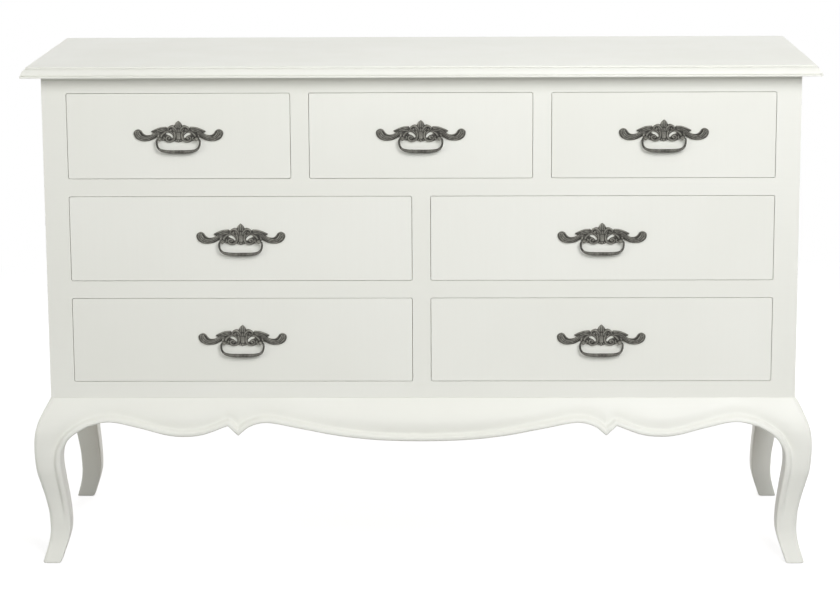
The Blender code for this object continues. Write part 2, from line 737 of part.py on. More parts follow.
def drawer_front_mesh(width):
    """A drawer front, rebated at its ends for the sides and grooved for the bottom."""
    half = width / 2 - FRONT_GAP
    rebate = half - DRAWER_SIDE_THICKNESS - SEAT_GAP
    lip, back = FRONT_LIP_THICKNESS, DRAWER_FRONT_THICKNESS
    outline = [(-half, HALF_GAP), (half, HALF_GAP), (half, lip), (rebate, lip), (rebate, back)]
    outline += [(-rebate, back), (-rebate, lip), (-half, lip)]
    board = prism_mesh("drawer_front", [outline], FRONT_GAP, OPENING_HEIGHT - FRONT_GAP)
    return combined("drawer_front", board, [groove_mesh(width)], "DIFFERENCE")


def box_depths():
    """Front and rear ends of the drawer sides, behind the front plane."""
    return FRONT_LIP_THICKNESS + SEAT_GAP, CASE_DEPTH - BACK_PANEL_THICKNESS - BOX_END_CLEARANCE


def inner_half(width):
    return width / 2 - BOX_CLEARANCE - DRAWER_SIDE_THICKNESS


def groove_mesh(width):
    """The slot that holds a drawer's bottom in its front and sides, open at the rear."""
    reach = inner_half(width) + GROOVE_DEPTH
    front = DRAWER_FRONT_THICKNESS - GROOVE_DEPTH
    rear = box_depths()[1] + CUT_OVERRUN
    low = DRAWER_BOTTOM_RISE
    return block_mesh("groove", (-reach, front, low), (reach, rear, low + DRAWER_BOTTOM_THICKNESS), inset=0)


def drawer_box_mesh(width):
    """Two sides and a back in one, with the back standing over the bottom and a little under the sides."""
    outer = width / 2 - BOX_CLEARANCE
    inner = inner_half(width)
    front, rear = box_depths()
    wall = rear - DRAWER_SIDE_THICKNESS
    outline = [(-outer, front), (-inner, front), (-inner, wall), (inner, wall), (inner, front)]
    outline += [(outer, front), (outer, rear), (-outer, rear)]
    walls = prism_mesh("drawer_box", [outline], SEAT_GAP, DRAWER_SIDE_HEIGHT)
    under_back = block_mesh(
        "under_back",
        (-inner, wall - CUT_OVERRUN, -CUT_OVERRUN),
        (inner, rear + CUT_OVERRUN, DRAWER_BOTTOM_RISE + DRAWER_BOTTOM_THICKNESS),
        inset=0,
    )
    over_back = block_mesh(
        "over_back",
        (-inner, wall - CUT_OVERRUN, DRAWER_SIDE_HEIGHT - DRAWER_BACK_DROP),
        (inner, rear + CUT_OVERRUN, DRAWER_SIDE_HEIGHT + CUT_OVERRUN),
        inset=0,
    )
    return combined("drawer_box", walls, [groove_mesh(width), under_back, over_back], "DIFFERENCE")


def drawer_bottom_mesh(width):
    reach = inner_half(width) + GROOVE_DEPTH
    low = (-reach, DRAWER_FRONT_THICKNESS - GROOVE_DEPTH, DRAWER_BOTTOM_RISE)
    high = (reach, box_depths()[1], DRAWER_BOTTOM_RISE + DRAWER_BOTTOM_THICKNESS)
    return block_mesh("drawer_bottom", low, high, inset=SEAT_GAP)


def plate_place(across, up):
    return across * PLATE_HALF_WIDTH, up * PLATE_RISE


def plate_outline():
    """The whole edge of the plate, both halves, from the tip of the bud round to the right."""
    right = []
    for stretch in PLATE_EDGE_SHARES:
        path = smooth_path([plate_place(*share) for share in stretch], 1)
        right.extend(path[:-1])
    bottom = plate_place(*PLATE_EDGE_SHARES[-1][-1])
    left = [(-x, y) for x, y in reversed(right[1:])]
    return [*right, bottom, *left]


def plate_window(side):
    return [(side * x, y) for x, y in (plate_place(*share) for share in PLATE_WINDOW_SHARES)]


def relief(name, shares, side):
    """A raised, flattened bar of the cast ornament, half sunk into the plate."""
    path = []
    for across, up, radius in shares:
        x, y = plate_place(across, up)
        path.append(((side * x, y, 0), radius * PLATE_RISE))
    flatten = Matrix.Diagonal((1, 1, RELIEF_FLATTEN_SHARE, 1))
    return tube_mesh(name, path, turn=Matrix.Translation((0, 0, RELIEF_HEIGHT)) @ flatten)


def swelling(name, shares):
    """A rounded boss on the plate's centre line."""
    height, half_width, half_height, depth = (share * PLATE_RISE for share in shares)
    ball = bmesh.new()
    size = Matrix.Diagonal((half_width, half_height, depth, 1))
    place = Matrix.Translation((0, height, RELIEF_HEIGHT)) @ size
    bmesh.ops.create_uvsphere(ball, u_segments=BUD_SEGMENTS, v_segments=BUD_RINGS, radius=1, matrix=place)
    return finished(ball, name)


def cylinder_mesh(name, radius, length, place):
    """A round bar along Z, centred, then placed."""
    bar = bmesh.new()
    size = Matrix.Diagonal((radius, radius, length, 1))
    bmesh.ops.create_cone(
        bar, cap_ends=True, segments=POST_SIDES, radius1=1, radius2=1, depth=1, matrix=place @ size
    )
    return finished(bar, name)


def behind_plate():
    """The space behind the plate's flat back, a little inside the slab so that the cut is clean."""
    reach = PLATE_HALF_WIDTH + CUT_OVERRUN
    height = PLATE_RISE + CUT_OVERRUN
    return block_mesh("behind", (-reach, -height, -PLATE_RISE), (reach, height, HALF_GAP), inset=0)


def handle_plate_mesh():
    """The cast openwork plate with its scrolls, leaves and bud, and the two posts that hold the bail."""
    outlines = [plate_outline(), plate_window(1), plate_window(-1)]
    slab = prism_mesh("handle_plate", outlines, 0, PLATE_THICKNESS)
    pieces = [swelling("bud", PLATE_BUD_SHARES), swelling("boss", PLATE_BOSS_SHARES)]
    for side in (-1, 1):
        pieces.append(relief("arm", PLATE_ARM_SHARES, side))
        pieces.append(relief("leaf", PLATE_LEAF_SHARES, side))
        pieces.append(relief("scroll", PLATE_SCROLL_SHARES, side))
        reach = BAIL_STANDOFF + POST_RADIUS
        place = Matrix.Translation((side * POST_REACH, 0, (reach + PLATE_THICKNESS / 2) / 2))
        pieces.append(cylinder_mesh("post", POST_RADIUS, reach - PLATE_THICKNESS / 2, place))
    plate = combined("handle_plate", slab, pieces, "UNION")
    cuts = [behind_plate()]
    for side in (-1, 1):
        mouth = POST_REACH + POST_RADIUS + CUT_OVERRUN
        floor = POST_REACH + POST_RADIUS - PIN_DEPTH - SEAT_GAP - PIN_CLEARANCE
        place = Matrix.Translation((side * (mouth + floor) / 2, 0, BAIL_STANDOFF))
        place = place @ Matrix.Rotation(math.pi / 2, 4, "Y")
        cuts.append(cylinder_mesh("bore", BAIL_WIRE_RADIUS + PIN_CLEARANCE, mouth - floor, place))
    plate = combined("handle_plate", plate, cuts, "DIFFERENCE")
    plate.transform(Matrix.Rotation(math.pi / 2, 4, "X"))
    return plate


def bail_mesh():
    """The bail: a drooping loop with a thick grip, its ends turned in towards each other as pivot pins."""
    half = []
    for across, up, swell in BAIL_SHARES:
        radius = BAIL_WIRE_RADIUS + swell * (BAIL_GRIP_RADIUS - BAIL_WIRE_RADIUS)
        half.append((Vector((across * BAIL_HALF_WIDTH, up * BAIL_DROP, 0)), radius))
    pin = (Vector((POST_REACH + POST_RADIUS - PIN_DEPTH, 0, 0)), BAIL_WIRE_RADIUS)
    right = [pin, *half]
    left = [(Vector((-place.x, place.y, 0)), radius) for place, radius in reversed(right[:-1])]
    return tube_mesh("handle_bail", [*right, *left], turn=Matrix.Rotation(math.pi / 2, 4, "X"))


def joint_empty(name, group, location, parent=None):
    marker = bpy.data.objects.new(name, None)
    marker.location = location
    marker.parent = parent
    marker.empty_display_size = OPENING_HEIGHT / 4
    group.objects.link(marker)
    return marker


def drawers(group, paint, timber, board, metal):
    """Seven drawers, each on its own slide, and each with a handle whose bail hangs on its own pivot."""
    plate, bail = handle_plate_mesh(), bail_mesh()
    for row, places in enumerate(PLACES):
        width = opening_width(row)
        front = drawer_front_mesh(width)
        box = drawer_box_mesh(width)
        bottom = drawer_bottom_mesh(width)
        for place, centre in zip(places, opening_centres(row)):
            slide = joint_empty(place + "_slide", group, (centre, FRONT_Y, row_floor(row)))
            pivot_height = OPENING_HEIGHT / 2 - PIVOT_DROP
            seat = joint_empty(place + "_handle_seat", group, (0, 0, pivot_height), slide)
            pivot = joint_empty(place + "_bail_pivot", group, (0, -BAIL_STANDOFF, 0), seat)
            add(place + "_drawer_front", front, paint, group, slide)
            add(place + "_drawer_box", box, timber, group, slide)
            add(place + "_drawer_bottom", bottom, board, group, slide)
            add(place + "_handle_plate", plate, metal, group, seat)
            add(place + "_handle_bail", bail, metal, group, pivot)


def shade(group):
    """Smooth shading on the round pieces."""
    for piece in group.objects:
        round_names = ("handle_plate", "handle_bail", "leg_", "apron")
        if piece.type == "MESH" and any(word in piece.name for word in round_names):
            piece.data.shade_smooth()
            piece.data.set_sharp_from_angle(angle=SHARP_ANGLE)


def main():
    clear_scene()
    chest = new_collection("chest_of_drawers")
    paint = principled("ivory_paint", (0.80, 0.80, 0.76), 0.45)
    timber = principled("pale_timber", (0.62, 0.45, 0.27), 0.60)
    board = principled("plywood", (0.66, 0.51, 0.33), 0.65)
    metal = principled("aged_pewter", (0.13, 0.12, 0.105), 0.45, 0.85)
    top_panel(chest, paint)
    side_panels(chest, paint)
    back_panel(chest, board)
    stiles(chest, paint)
    rails(chest, paint)
    mullions(chest, paint)
    web_frames(chest, timber)
    aprons(chest, paint)
    legs(chest, paint)
    drawers(chest, paint, timber, board, metal)
    shade(chest)


main()
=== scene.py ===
import math

import bmesh
import bpy
import numpy as np
from mathutils import Matrix, Vector


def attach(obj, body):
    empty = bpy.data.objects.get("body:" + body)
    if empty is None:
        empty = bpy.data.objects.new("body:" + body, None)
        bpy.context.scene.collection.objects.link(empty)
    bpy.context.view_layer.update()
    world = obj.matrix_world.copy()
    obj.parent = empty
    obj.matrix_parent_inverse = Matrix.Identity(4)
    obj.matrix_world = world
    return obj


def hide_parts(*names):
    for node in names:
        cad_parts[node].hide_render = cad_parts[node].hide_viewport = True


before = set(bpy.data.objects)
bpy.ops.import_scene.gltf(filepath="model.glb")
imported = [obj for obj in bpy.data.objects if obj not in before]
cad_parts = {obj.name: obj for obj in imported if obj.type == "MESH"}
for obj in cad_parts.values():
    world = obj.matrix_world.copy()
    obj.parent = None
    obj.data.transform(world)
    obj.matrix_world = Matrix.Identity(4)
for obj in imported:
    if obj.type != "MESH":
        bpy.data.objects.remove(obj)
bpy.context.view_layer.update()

# Case, in metres: X to the right, -Y to the front, Z up
HALF_CASE = 0.620
FRONT_Y = -0.195
BACK_Y = 0.195
HALF_DEPTH = (BACK_Y - FRONT_Y) / 2
FRAME_BACK_Y = -0.175
BACK_PANEL_Y = 0.186
HALF_INSIDE = 0.602
PANEL_LAP = 0.009
HALF_FRAME = 0.580
CASE_BOTTOM = 0.282
CASE_TOP = 0.822
MULLION = 0.030
OPENING = 0.142
ROW_FLOORS = (0.652, 0.481, 0.310)
PLACES = (
    ("upper_left", "upper_middle", "upper_right"),
    ("middle_left", "middle_right"),
    ("lower_left", "lower_right"),
)
# Clearance between pieces that are seated on each other
SEAT = 0.00015

# Top. Its moulding is given by insets from the lip's face and rises over the case
TOP_OVERHANG = 0.030
TOP_THICK = 0.018
TOP_LIP = 0.0034
LIP_EASE = 0.0005
TOP_QUIRK = (0.0018, 0.0037)
# Radius of the roll, then the angles in degrees at which it starts and ends
TOP_ROLL = (0.0140, 8.0, 60.0)
ROLL_STEPS = 12
# Inset of the slot's wall, then the rises of its foot and head
TOP_SLOT = (0.0098, 0.0144, 0.0149)
# Inset and rise at the foot of the arris, a quarter of an ellipse, then its depth
TOP_ARRIS = (0.0086, 0.0152, 0.0024)
ARRIS_STEPS = 8

# Drawer fronts and the height of the handles' pivots over the opening's floor
FRONT_GAP = 0.0007
FRONT_CORNER = 0.0024
FRONT_LIP = 0.008
FRONT_BACK = 0.020
FRONT_REBATE = 0.0138
GROOVE_Y = 0.014
GROOVE_Z = (0.010, 0.015)
PIVOT_RISE = 0.067

# Widths of the eased edges
TOP_EASE = 0.0003
SHELL_EASE = 0.0004
FRONT_EASE = 0.0005
BOX_EASE = 0.0007
BOTTOM_EASE = 0.0003
WEB_EASE = 0.0006
BACK_EASE = 0.0004
BLOCK_EASE = 0.0010

# Legs and aprons
POST = 0.025
KNEE = 0.0274
APRON_DROP = 0.0744
APRON_BACK = 0.012
ARCH = 0.077
LEG_CORNER = 0.007
LEG_INNER_ROUND = 0.003
FOOT_EASE = 0.0028
FOOT_HALF = 0.015
BLOCK = 0.048
BLOCK_HEIGHT = 0.054
REAR_BOARD = 0.018
REAR_DROP = 0.055
EDGE_EASE = 0.0022
SEAM_SHARE = 0.736
# From the floor up, in shares: height, then how far a leg reaches out from the case and in from its corner
LEG_SHARES = (
    (0.000, 0.740, 0.410), (0.050, 0.580, 0.600), (0.100, 0.430, 0.800), (0.145, 0.330, 0.950),
    (0.200, 0.278, 1.070), (0.287, 0.314, 1.068), (0.387, 0.475, 0.965), (0.490, 0.720, 0.820),
    (0.575, 0.915, 0.700), (0.635, 0.975, 0.672), (0.690, 1.000, 0.745), (0.736, 0.998, 1.000),
    (0.800, 0.940, 1.000), (0.867, 0.750, 1.000), (0.945, 0.350, 1.000), (1.000, 0.040, 1.000),
)
# Lower edges of the aprons in shares: way along, then drop. First the arch by each leg, then the runs
# from there to the middle, which meet in corners
ARCH_SHARES = ((0.09, 0.866), (0.30, 0.702), (0.57, 0.577))
FRONT_EDGE_SHARES = (
    ((0.000, 0.510), (0.095, 0.642), (0.180, 0.790), (0.239, 0.824), (0.300, 0.772), (0.375, 0.587)),
    ((0.409, 0.797), (0.448, 0.598), (0.505, 0.523), (0.606, 0.642), (0.736, 0.805), (0.863, 0.897),
     (1.000, 0.922)),
)
SIDE_EDGE_SHARES = (((0.000, 0.510), (0.350, 0.600), (0.700, 0.760), (1.000, 0.824)),)
# Bead and cove across an edge: distance from the edge and rise over the plain face, both in mm
BEAD_PROFILE = (
    (0.0, -3.0), (0.4, -1.6), (1.4, 0.2), (3.2, 1.05), (5.4, 1.35), (7.0, 1.2), (8.2, 0.5), (9.2, -1.0),
    (10.2, -2.9), (11.2, -4.3), (12.4, -5.0), (14.0, -4.7), (16.5, -3.8), (20.0, -2.4), (24.5, -1.1),
    (29.5, -0.3), (34.0, 0.0),
)
# Heights between which a leg's eased edge turns into the bead
BEAD_FADE = (0.060, 0.112)
# Share of the bead on the legs, and the heights between which it grows to the whole
LEG_BEAD = 0.55
BEAD_GROWTH = (0.180, 0.211)

# Distances from an edge, in mm, at which the faces have a line of points, then shares of the room beyond
EDGE_LINES = (
    0.0, 0.2, 0.5, 0.9, 1.5, 2.4, 3.6, 5.0, 6.4, 7.5, 8.3, 9.0, 9.7, 10.4, 11.2, 12.2, 13.6, 16.0, 19.5,
)
APRON_SHARES = (0.13, 0.28, 0.45, 0.64, 0.83, 1.0)
LEG_FACE_SHARES = (0.33, 0.67, 1.0)
# Most that the lines take of a leg's face
LEG_LINES_SHARE = 0.9
# The lines of an apron stretch with the slope of its edge, measured over a short span
SLOPE_SPAN = 0.002
END_SLOPE = 1.4
MOST_STRETCH = 1.75
# Where they would leave less room than this, they take a share of the height
LEAST_ROOM = 0.004
SQUEEZED_SHARE = 0.72
# Steps along an apron: close to a corner, near a corner or an end, and elsewhere
CLOSE, NEAR = 0.012, 0.030
CLOSE_STEP, NEAR_STEP, FAR_STEP = 0.0010, 0.0016, 0.0032
# Heights of a leg's rings: shares of the foot's ease, then evenly up to the seam
FOOT_SHARES = (0.0, 0.07, 0.25, 0.55, 1.0)
LEG_START = 0.005
LEG_LEVELS = 78
# Steps between points of an edge line, and round a leg's outer and inner corner
EDGE_STEPS = 10
CORNER_STEPS, INNER_STEPS = 6, 3
# Points whose distances are worked out at once
BATCH = 2000


def hermite(t, first, leaving, second, arriving):
    """A cubic from one value to another with the given slopes."""
    return (
        (2 * t**3 - 3 * t**2 + 1) * first + (t**3 - 2 * t**2 + t) * leaving
        + (3 * t**2 - 2 * t**3) * second + (t**3 - t**2) * arriving
    )


def spline_through(points, steps):
    """Points on a smooth curve through the given ones, with that many steps between neighbours."""
    points = [Vector(point) for point in points]
    before = [2 * points[0] - points[1], *points[:-1]]
    after = [*points[1:], 2 * points[-1] - points[-2]]
    slopes = [(b - a) / 2 for a, b in zip(before, after)]
    path = []
    for k in range(len(points) - 1):
        ends = (points[k], slopes[k], points[k + 1], slopes[k + 1])
        path += [hermite(step / steps, *ends) for step in range(steps)]
    return [*path, points[-1]]


def mirrored(run):
    """A run of points on the other side of x = 0, in reverse order."""
    return [(-x, *others) for x, *others in reversed(run)]


def gentle(stations):
    """A smooth function through (place, value) stations that never overshoots them."""
    xs, ys = (np.array(row, float) for row in zip(*stations))
    steps = np.diff(xs)
    rates = np.diff(ys) / steps
    slopes = np.concatenate([rates[:1], np.zeros(len(xs) - 2), rates[-1:]])
    for k in range(1, len(xs) - 1):
        if rates[k - 1] * rates[k] > 0:
            first, second = 2 * steps[k] + steps[k - 1], steps[k] + 2 * steps[k - 1]
            slopes[k] = (first + second) / (first / rates[k - 1] + second / rates[k])

    def value(x):
        x = np.clip(np.asarray(x, float), xs[0], xs[-1])
        k = np.clip(np.searchsorted(xs, x) - 1, 0, len(steps) - 1)
        t = (x - xs[k]) / steps[k]
        return hermite(t, ys[k], steps[k] * slopes[k], ys[k + 1], steps[k] * slopes[k + 1])

    return value


def share_between(values, low, high):
    """How far values have come from low to high, from 0 to 1."""
    return np.clip((np.asarray(values) - low) / (high - low), 0, 1)


def ring_faces(count, size):
    """Faces between each of a number of equal rings of points and the next."""
    faces = []
    for k in range(count - 1):
        for n in range(size):
            a, b = k * size + n, k * size + (n + 1) % size
            faces.append((a, b, b + size, a + size))
    return faces


def mesh_from(name, points, faces, materials, picks=None, weld=1e-6):
    """A mesh of points and faces, welded, with its faces pointing out."""
    mesh = bpy.data.meshes.new(name)
    mesh.from_pydata([tuple(point) for point in points], [], faces)
    for material in materials:
        mesh.materials.append(material)
    if picks is not None:
        mesh.polygons.foreach_set("material_index", picks)
    shape = bmesh.new()
    shape.from_mesh(mesh)
    bmesh.ops.remove_doubles(shape, verts=shape.verts, dist=weld)
    bmesh.ops.recalc_face_normals(shape, faces=shape.faces)
    if shape.calc_volume(signed=True) < 0:
        bmesh.ops.reverse_faces(shape, faces=shape.faces)
    shape.to_mesh(mesh)
    shape.free()
    return mesh


def mesh_of(shape, name):
    """The mesh of a bmesh with its faces pointing out. The bmesh is freed."""
    bmesh.ops.recalc_face_normals(shape, faces=shape.faces)
    mesh = bpy.data.meshes.new(name)
    shape.to_mesh(mesh)
    shape.free()
    return mesh


def linked(name, data):
    """A new object in the scene."""
    made = bpy.data.objects.new(name, data)
    bpy.context.scene.collection.objects.link(made)
    return made


def baked(holder):
    """The mesh of an object after its modifiers. The object is removed."""
    bpy.context.view_layer.update()
    mesh = bpy.data.meshes.new_from_object(holder.evaluated_get(bpy.context.evaluated_depsgraph_get()))
    bpy.data.objects.remove(holder)
    return mesh


def place_piece(name, mesh, body, nodes, location=(0, 0, 0), sharp=35):
    """A piece that is smooth up to an angle in degrees, rides on its body and stands for its nodes."""
    mesh.shade_smooth()
    mesh.set_sharp_from_angle(angle=math.radians(sharp))
    piece = linked(name, mesh)
    piece.location = location
    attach(piece, body)
    if nodes:
        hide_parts(*nodes)
    return piece


def add_bevel(piece, name, width, segments, limit):
    bevel = piece.modifiers.new(name, "BEVEL")
    bevel.width, bevel.segments, bevel.limit_method = width, segments, limit
    return bevel


def round_corners(piece, radius, corners, back):
    """Rounds the edges that run from front to back, as far as back, at the given corners (x, z)."""
    mesh, touch = piece.data, 1e-5
    if "bevel_weight_edge" not in mesh.attributes:
        weights = mesh.attributes.new("bevel_weight_edge", "FLOAT", "EDGE")
        for edge in mesh.edges:
            a, b = (mesh.vertices[k].co for k in edge.vertices)
            near = any(abs(a.x - x) + abs(a.z - z) < touch for x, z in corners)
            if near and abs((b - a).normalized().y) > 0.999 and max(a.y, b.y) < back + touch:
                weights.data[edge.index].value = 1.0
    add_bevel(piece, "round_corners", radius, 4, "WEIGHT")


def ease_edges(piece, width):
    """Rounds the sharp edges of a piece a little."""
    bevel = add_bevel(piece, "eased_edges", width, 2, "ANGLE")
    bevel.angle_limit = math.radians(40)
    bevel.harden_normals = True
    for polygon in piece.data.polygons:
        polygon.use_smooth = True


# Materials

IVORY = ((0.806, 0.810, 0.742), (0.836, 0.840, 0.776))
IVORY_STROKE = (0.790, 0.794, 0.724)
PEWTER_DARK = ((0.050, 0.048, 0.043), (0.090, 0.086, 0.076))
PEWTER_PALE = ((0.215, 0.211, 0.182), (0.285, 0.280, 0.246))
# The pale and the dark of each timber
PINE = ((0.60, 0.42, 0.235), (0.47, 0.305, 0.155))
SHEET = ((0.64, 0.48, 0.30), (0.56, 0.40, 0.235))
BACK_SHEET = ((0.60, 0.45, 0.28), (0.53, 0.38, 0.22))
GRAIN_SCALE = 55.0
# Scales of place that draw the grain out along X and along Y
GRAIN_X, GRAIN_Y = (0.06, 1, 1), (1, 0.06, 1)
# Places along Y behind which a drawer box and a web frame are cross-grained
BOX_BACK_Y = 0.1708
REAR_RAIL_Y = 0.131


def feed(socket, value):
    """Sets a socket to a number or colour, or joins it to an output."""
    if isinstance(value, bpy.types.NodeSocket):
        socket.id_data.links.new(value, socket)
    elif isinstance(value, tuple) and len(value) == 3 and socket.type == "RGBA":
        socket.default_value = (*value, 1.0)
    else:
        socket.default_value = value


def fill(made, inputs):
    """Feeds the inputs of a node, given by name or in their order."""
    for key, value in inputs.items() if isinstance(inputs, dict) else enumerate(inputs):
        feed(made.inputs[key], value)


def node(tree, kind, inputs=(), **settings):
    made = tree.nodes.new("ShaderNode" + kind)
    for key, value in settings.items():
        setattr(made, key, value)
    fill(made, inputs)
    return made


def maths(tree, operation, *values, clamp=False):
    return node(tree, "Math", values, operation=operation, use_clamp=clamp).outputs[0]


def blended(tree, share, first, second):
    made = node(tree, "Mix", data_type="RGBA")
    fill(made, {"Factor": share, "A": first, "B": second})
    return made.outputs["Result"]


def ranged(tree, value, low, high, to_low=0.0, to_high=1.0):
    values = (value, low, high, to_low, to_high)
    return node(tree, "MapRange", values, interpolation_type="SMOOTHSTEP").outputs["Result"]


def object_place(tree, scale=(1, 1, 1), offset=None):
    """Object coordinates, stretched, and shifted for each object if an offset is given."""
    place = node(tree, "TexCoord").outputs["Object"]
    if offset:
        shift = maths(tree, "MULTIPLY", node(tree, "ObjectInfo").outputs["Random"], offset)
        place = node(tree, "VectorMath", (place, shift)).outputs[0]
    return node(tree, "Mapping", {"Vector": place, "Scale": scale}).outputs[0]


def noise(tree, place, scale, detail=3.0, roughness=0.5, distortion=0.0):
    return node(tree, "TexNoise", {
        "Vector": place, "Scale": scale, "Detail": detail, "Roughness": roughness, "Distortion": distortion,
    }).outputs["Fac"]


def bumped(tree, height, strength, distance, **under):
    """A bumped normal, over another one if it is given."""
    values = {"Strength": strength, "Distance": distance, "Height": height, **under}
    return node(tree, "Bump", values).outputs["Normal"]


def new_material(name):
    material = bpy.data.materials.new(name)
    material.use_nodes = True
    tree = material.node_tree
    return material, tree, tree.nodes["Principled BSDF"]


def paint_material(name, brush):
    """Satin ivory paint: faint brush lines one way, a fine stipple, and slightly uneven tint and gloss."""
    material, tree, shader = new_material(name)
    plain = object_place(tree, offset=7.0)
    strokes = noise(tree, object_place(tree, brush, offset=3.0), 1.0, 4.0, 0.6)
    clouds = noise(tree, plain, 2.3, 3.0)
    stipple = noise(tree, plain, 900.0, 2.0, 0.6)
    tint = blended(tree, ranged(tree, clouds, 0.3, 0.7), *IVORY)
    fill(shader, {
        "Base Color": blended(tree, ranged(tree, strokes, 0.35, 0.75, 0.0, 0.16), tint, IVORY_STROKE),
        "Roughness": ranged(tree, noise(tree, plain, 14.0), 0.3, 0.7, 0.36, 0.46),
        "Specular IOR Level": 0.42,
        "Normal": bumped(tree, stipple, 0.05, 0.0003, Normal=bumped(tree, strokes, 0.06, 0.0004)),
    })
    return material


def timber_colours(tree, grain, pale, dark):
    """Colour and height of straight grain, drawn out by its scales of place."""
    along = object_place(tree, grain, offset=5.0)
    figure = noise(tree, along, GRAIN_SCALE, 4.0, 0.62, 0.6)
    pores = noise(tree, along, GRAIN_SCALE * 6.5, 2.0, 0.5)
    rings = maths(tree, "PINGPONG", maths(tree, "MULTIPLY", figure, 7.0), 0.5)
    lines = ranged(tree, rings, 0.05, 0.45)
    pitted = ranged(tree, pores, 0.55, 0.75, 0.0, 0.45)
    colour = blended(tree, pitted, blended(tree, lines, dark, pale), tuple(c * 0.72 for c in dark))
    return colour, maths(tree, "ADD", maths(tree, "MULTIPLY", lines, 0.6), pores)


def timber_material(name, colours, grain, cross=None, cross_from=None):
    """Bare timber, sanded and sealed, with a second grain behind a place along Y if one is given."""
    material, tree, shader = new_material(name)
    colour, height = timber_colours(tree, grain, *colours)
    if cross:
        second, rise = timber_colours(tree, cross, *colours)
        split = node(tree, "SeparateXYZ", (node(tree, "TexCoord").outputs["Object"],))
        behind = maths(tree, "GREATER_THAN", split.outputs["Y"], cross_from)
        colour = blended(tree, behind, colour, second)
        height = ranged(tree, behind, 0.0, 1.0, height, rise)
    patches = ranged(tree, noise(tree, object_place(tree, offset=5.0), 4.0, 2.0), 0.35, 0.7, 0.0, 0.25)
    fill(shader, {
        "Base Color": blended(tree, patches, colour, tuple(c * 1.12 for c in colours[0])),
        "Roughness": ranged(tree, height, 0.2, 1.2, 0.62, 0.5),
        "Specular IOR Level": 0.3,
        "Normal": bumped(tree, height, 0.16, 0.0005),
    })
    return material


def pewter_material():
    """Aged cast metal: dark in the hollows, rubbed paler on the raised work, with a grainy skin."""
    material, tree, shader = new_material("aged_pewter")
    place = object_place(tree)
    worn = node(tree, "Attribute", attribute_name="wear").outputs["Fac"]
    patches = noise(tree, place, 180.0, 3.0, 0.6)
    grain = noise(tree, place, 1300.0, 2.0, 0.55)
    share = maths(tree, "ADD", worn, ranged(tree, patches, 0.3, 0.75, -0.22, 0.22), clamp=True)
    dark = blended(tree, ranged(tree, grain, 0.35, 0.7), *PEWTER_DARK)
    pale = blended(tree, ranged(tree, patches, 0.35, 0.65), *PEWTER_PALE)
    fill(shader, {
        "Base Color": blended(tree, share, dark, pale),
        "Metallic": 0.75,
        "Roughness": maths(tree, "SUBTRACT", 0.56, maths(tree, "MULTIPLY", share, 0.16)),
        "Normal": bumped(tree, grain, 0.22, 0.0003, Normal=bumped(tree, patches, 0.10, 0.0006)),
    })
    return material


PAINT = paint_material("ivory_paint", (6, 260, 260))
UPRIGHT_PAINT = paint_material("ivory_paint_upright", (260, 260, 6))
TIMBER = timber_material("pale_timber", PINE, GRAIN_X)
BOX_TIMBER = timber_material("drawer_timber", PINE, GRAIN_Y, GRAIN_X, BOX_BACK_Y)
WEB_TIMBER = timber_material("web_timber", PINE, GRAIN_Y, GRAIN_X, REAR_RAIL_Y)
PLY = timber_material("plywood_sheet", SHEET, (0.035, 0.4, 1))
BACK_PLY = timber_material("plywood_back", BACK_SHEET, (0.4, 1, 0.035))
METAL = pewter_material()


# Legs and aprons

outward_share = gentle([(share, out) for share, out, _ in LEG_SHARES])
bead_rise = gentle(BEAD_PROFILE)


def face_reach(z):
    """How far the legs and aprons stand proud of the case at a height."""
    return outward_share(np.asarray(z, float) / CASE_BOTTOM) * KNEE


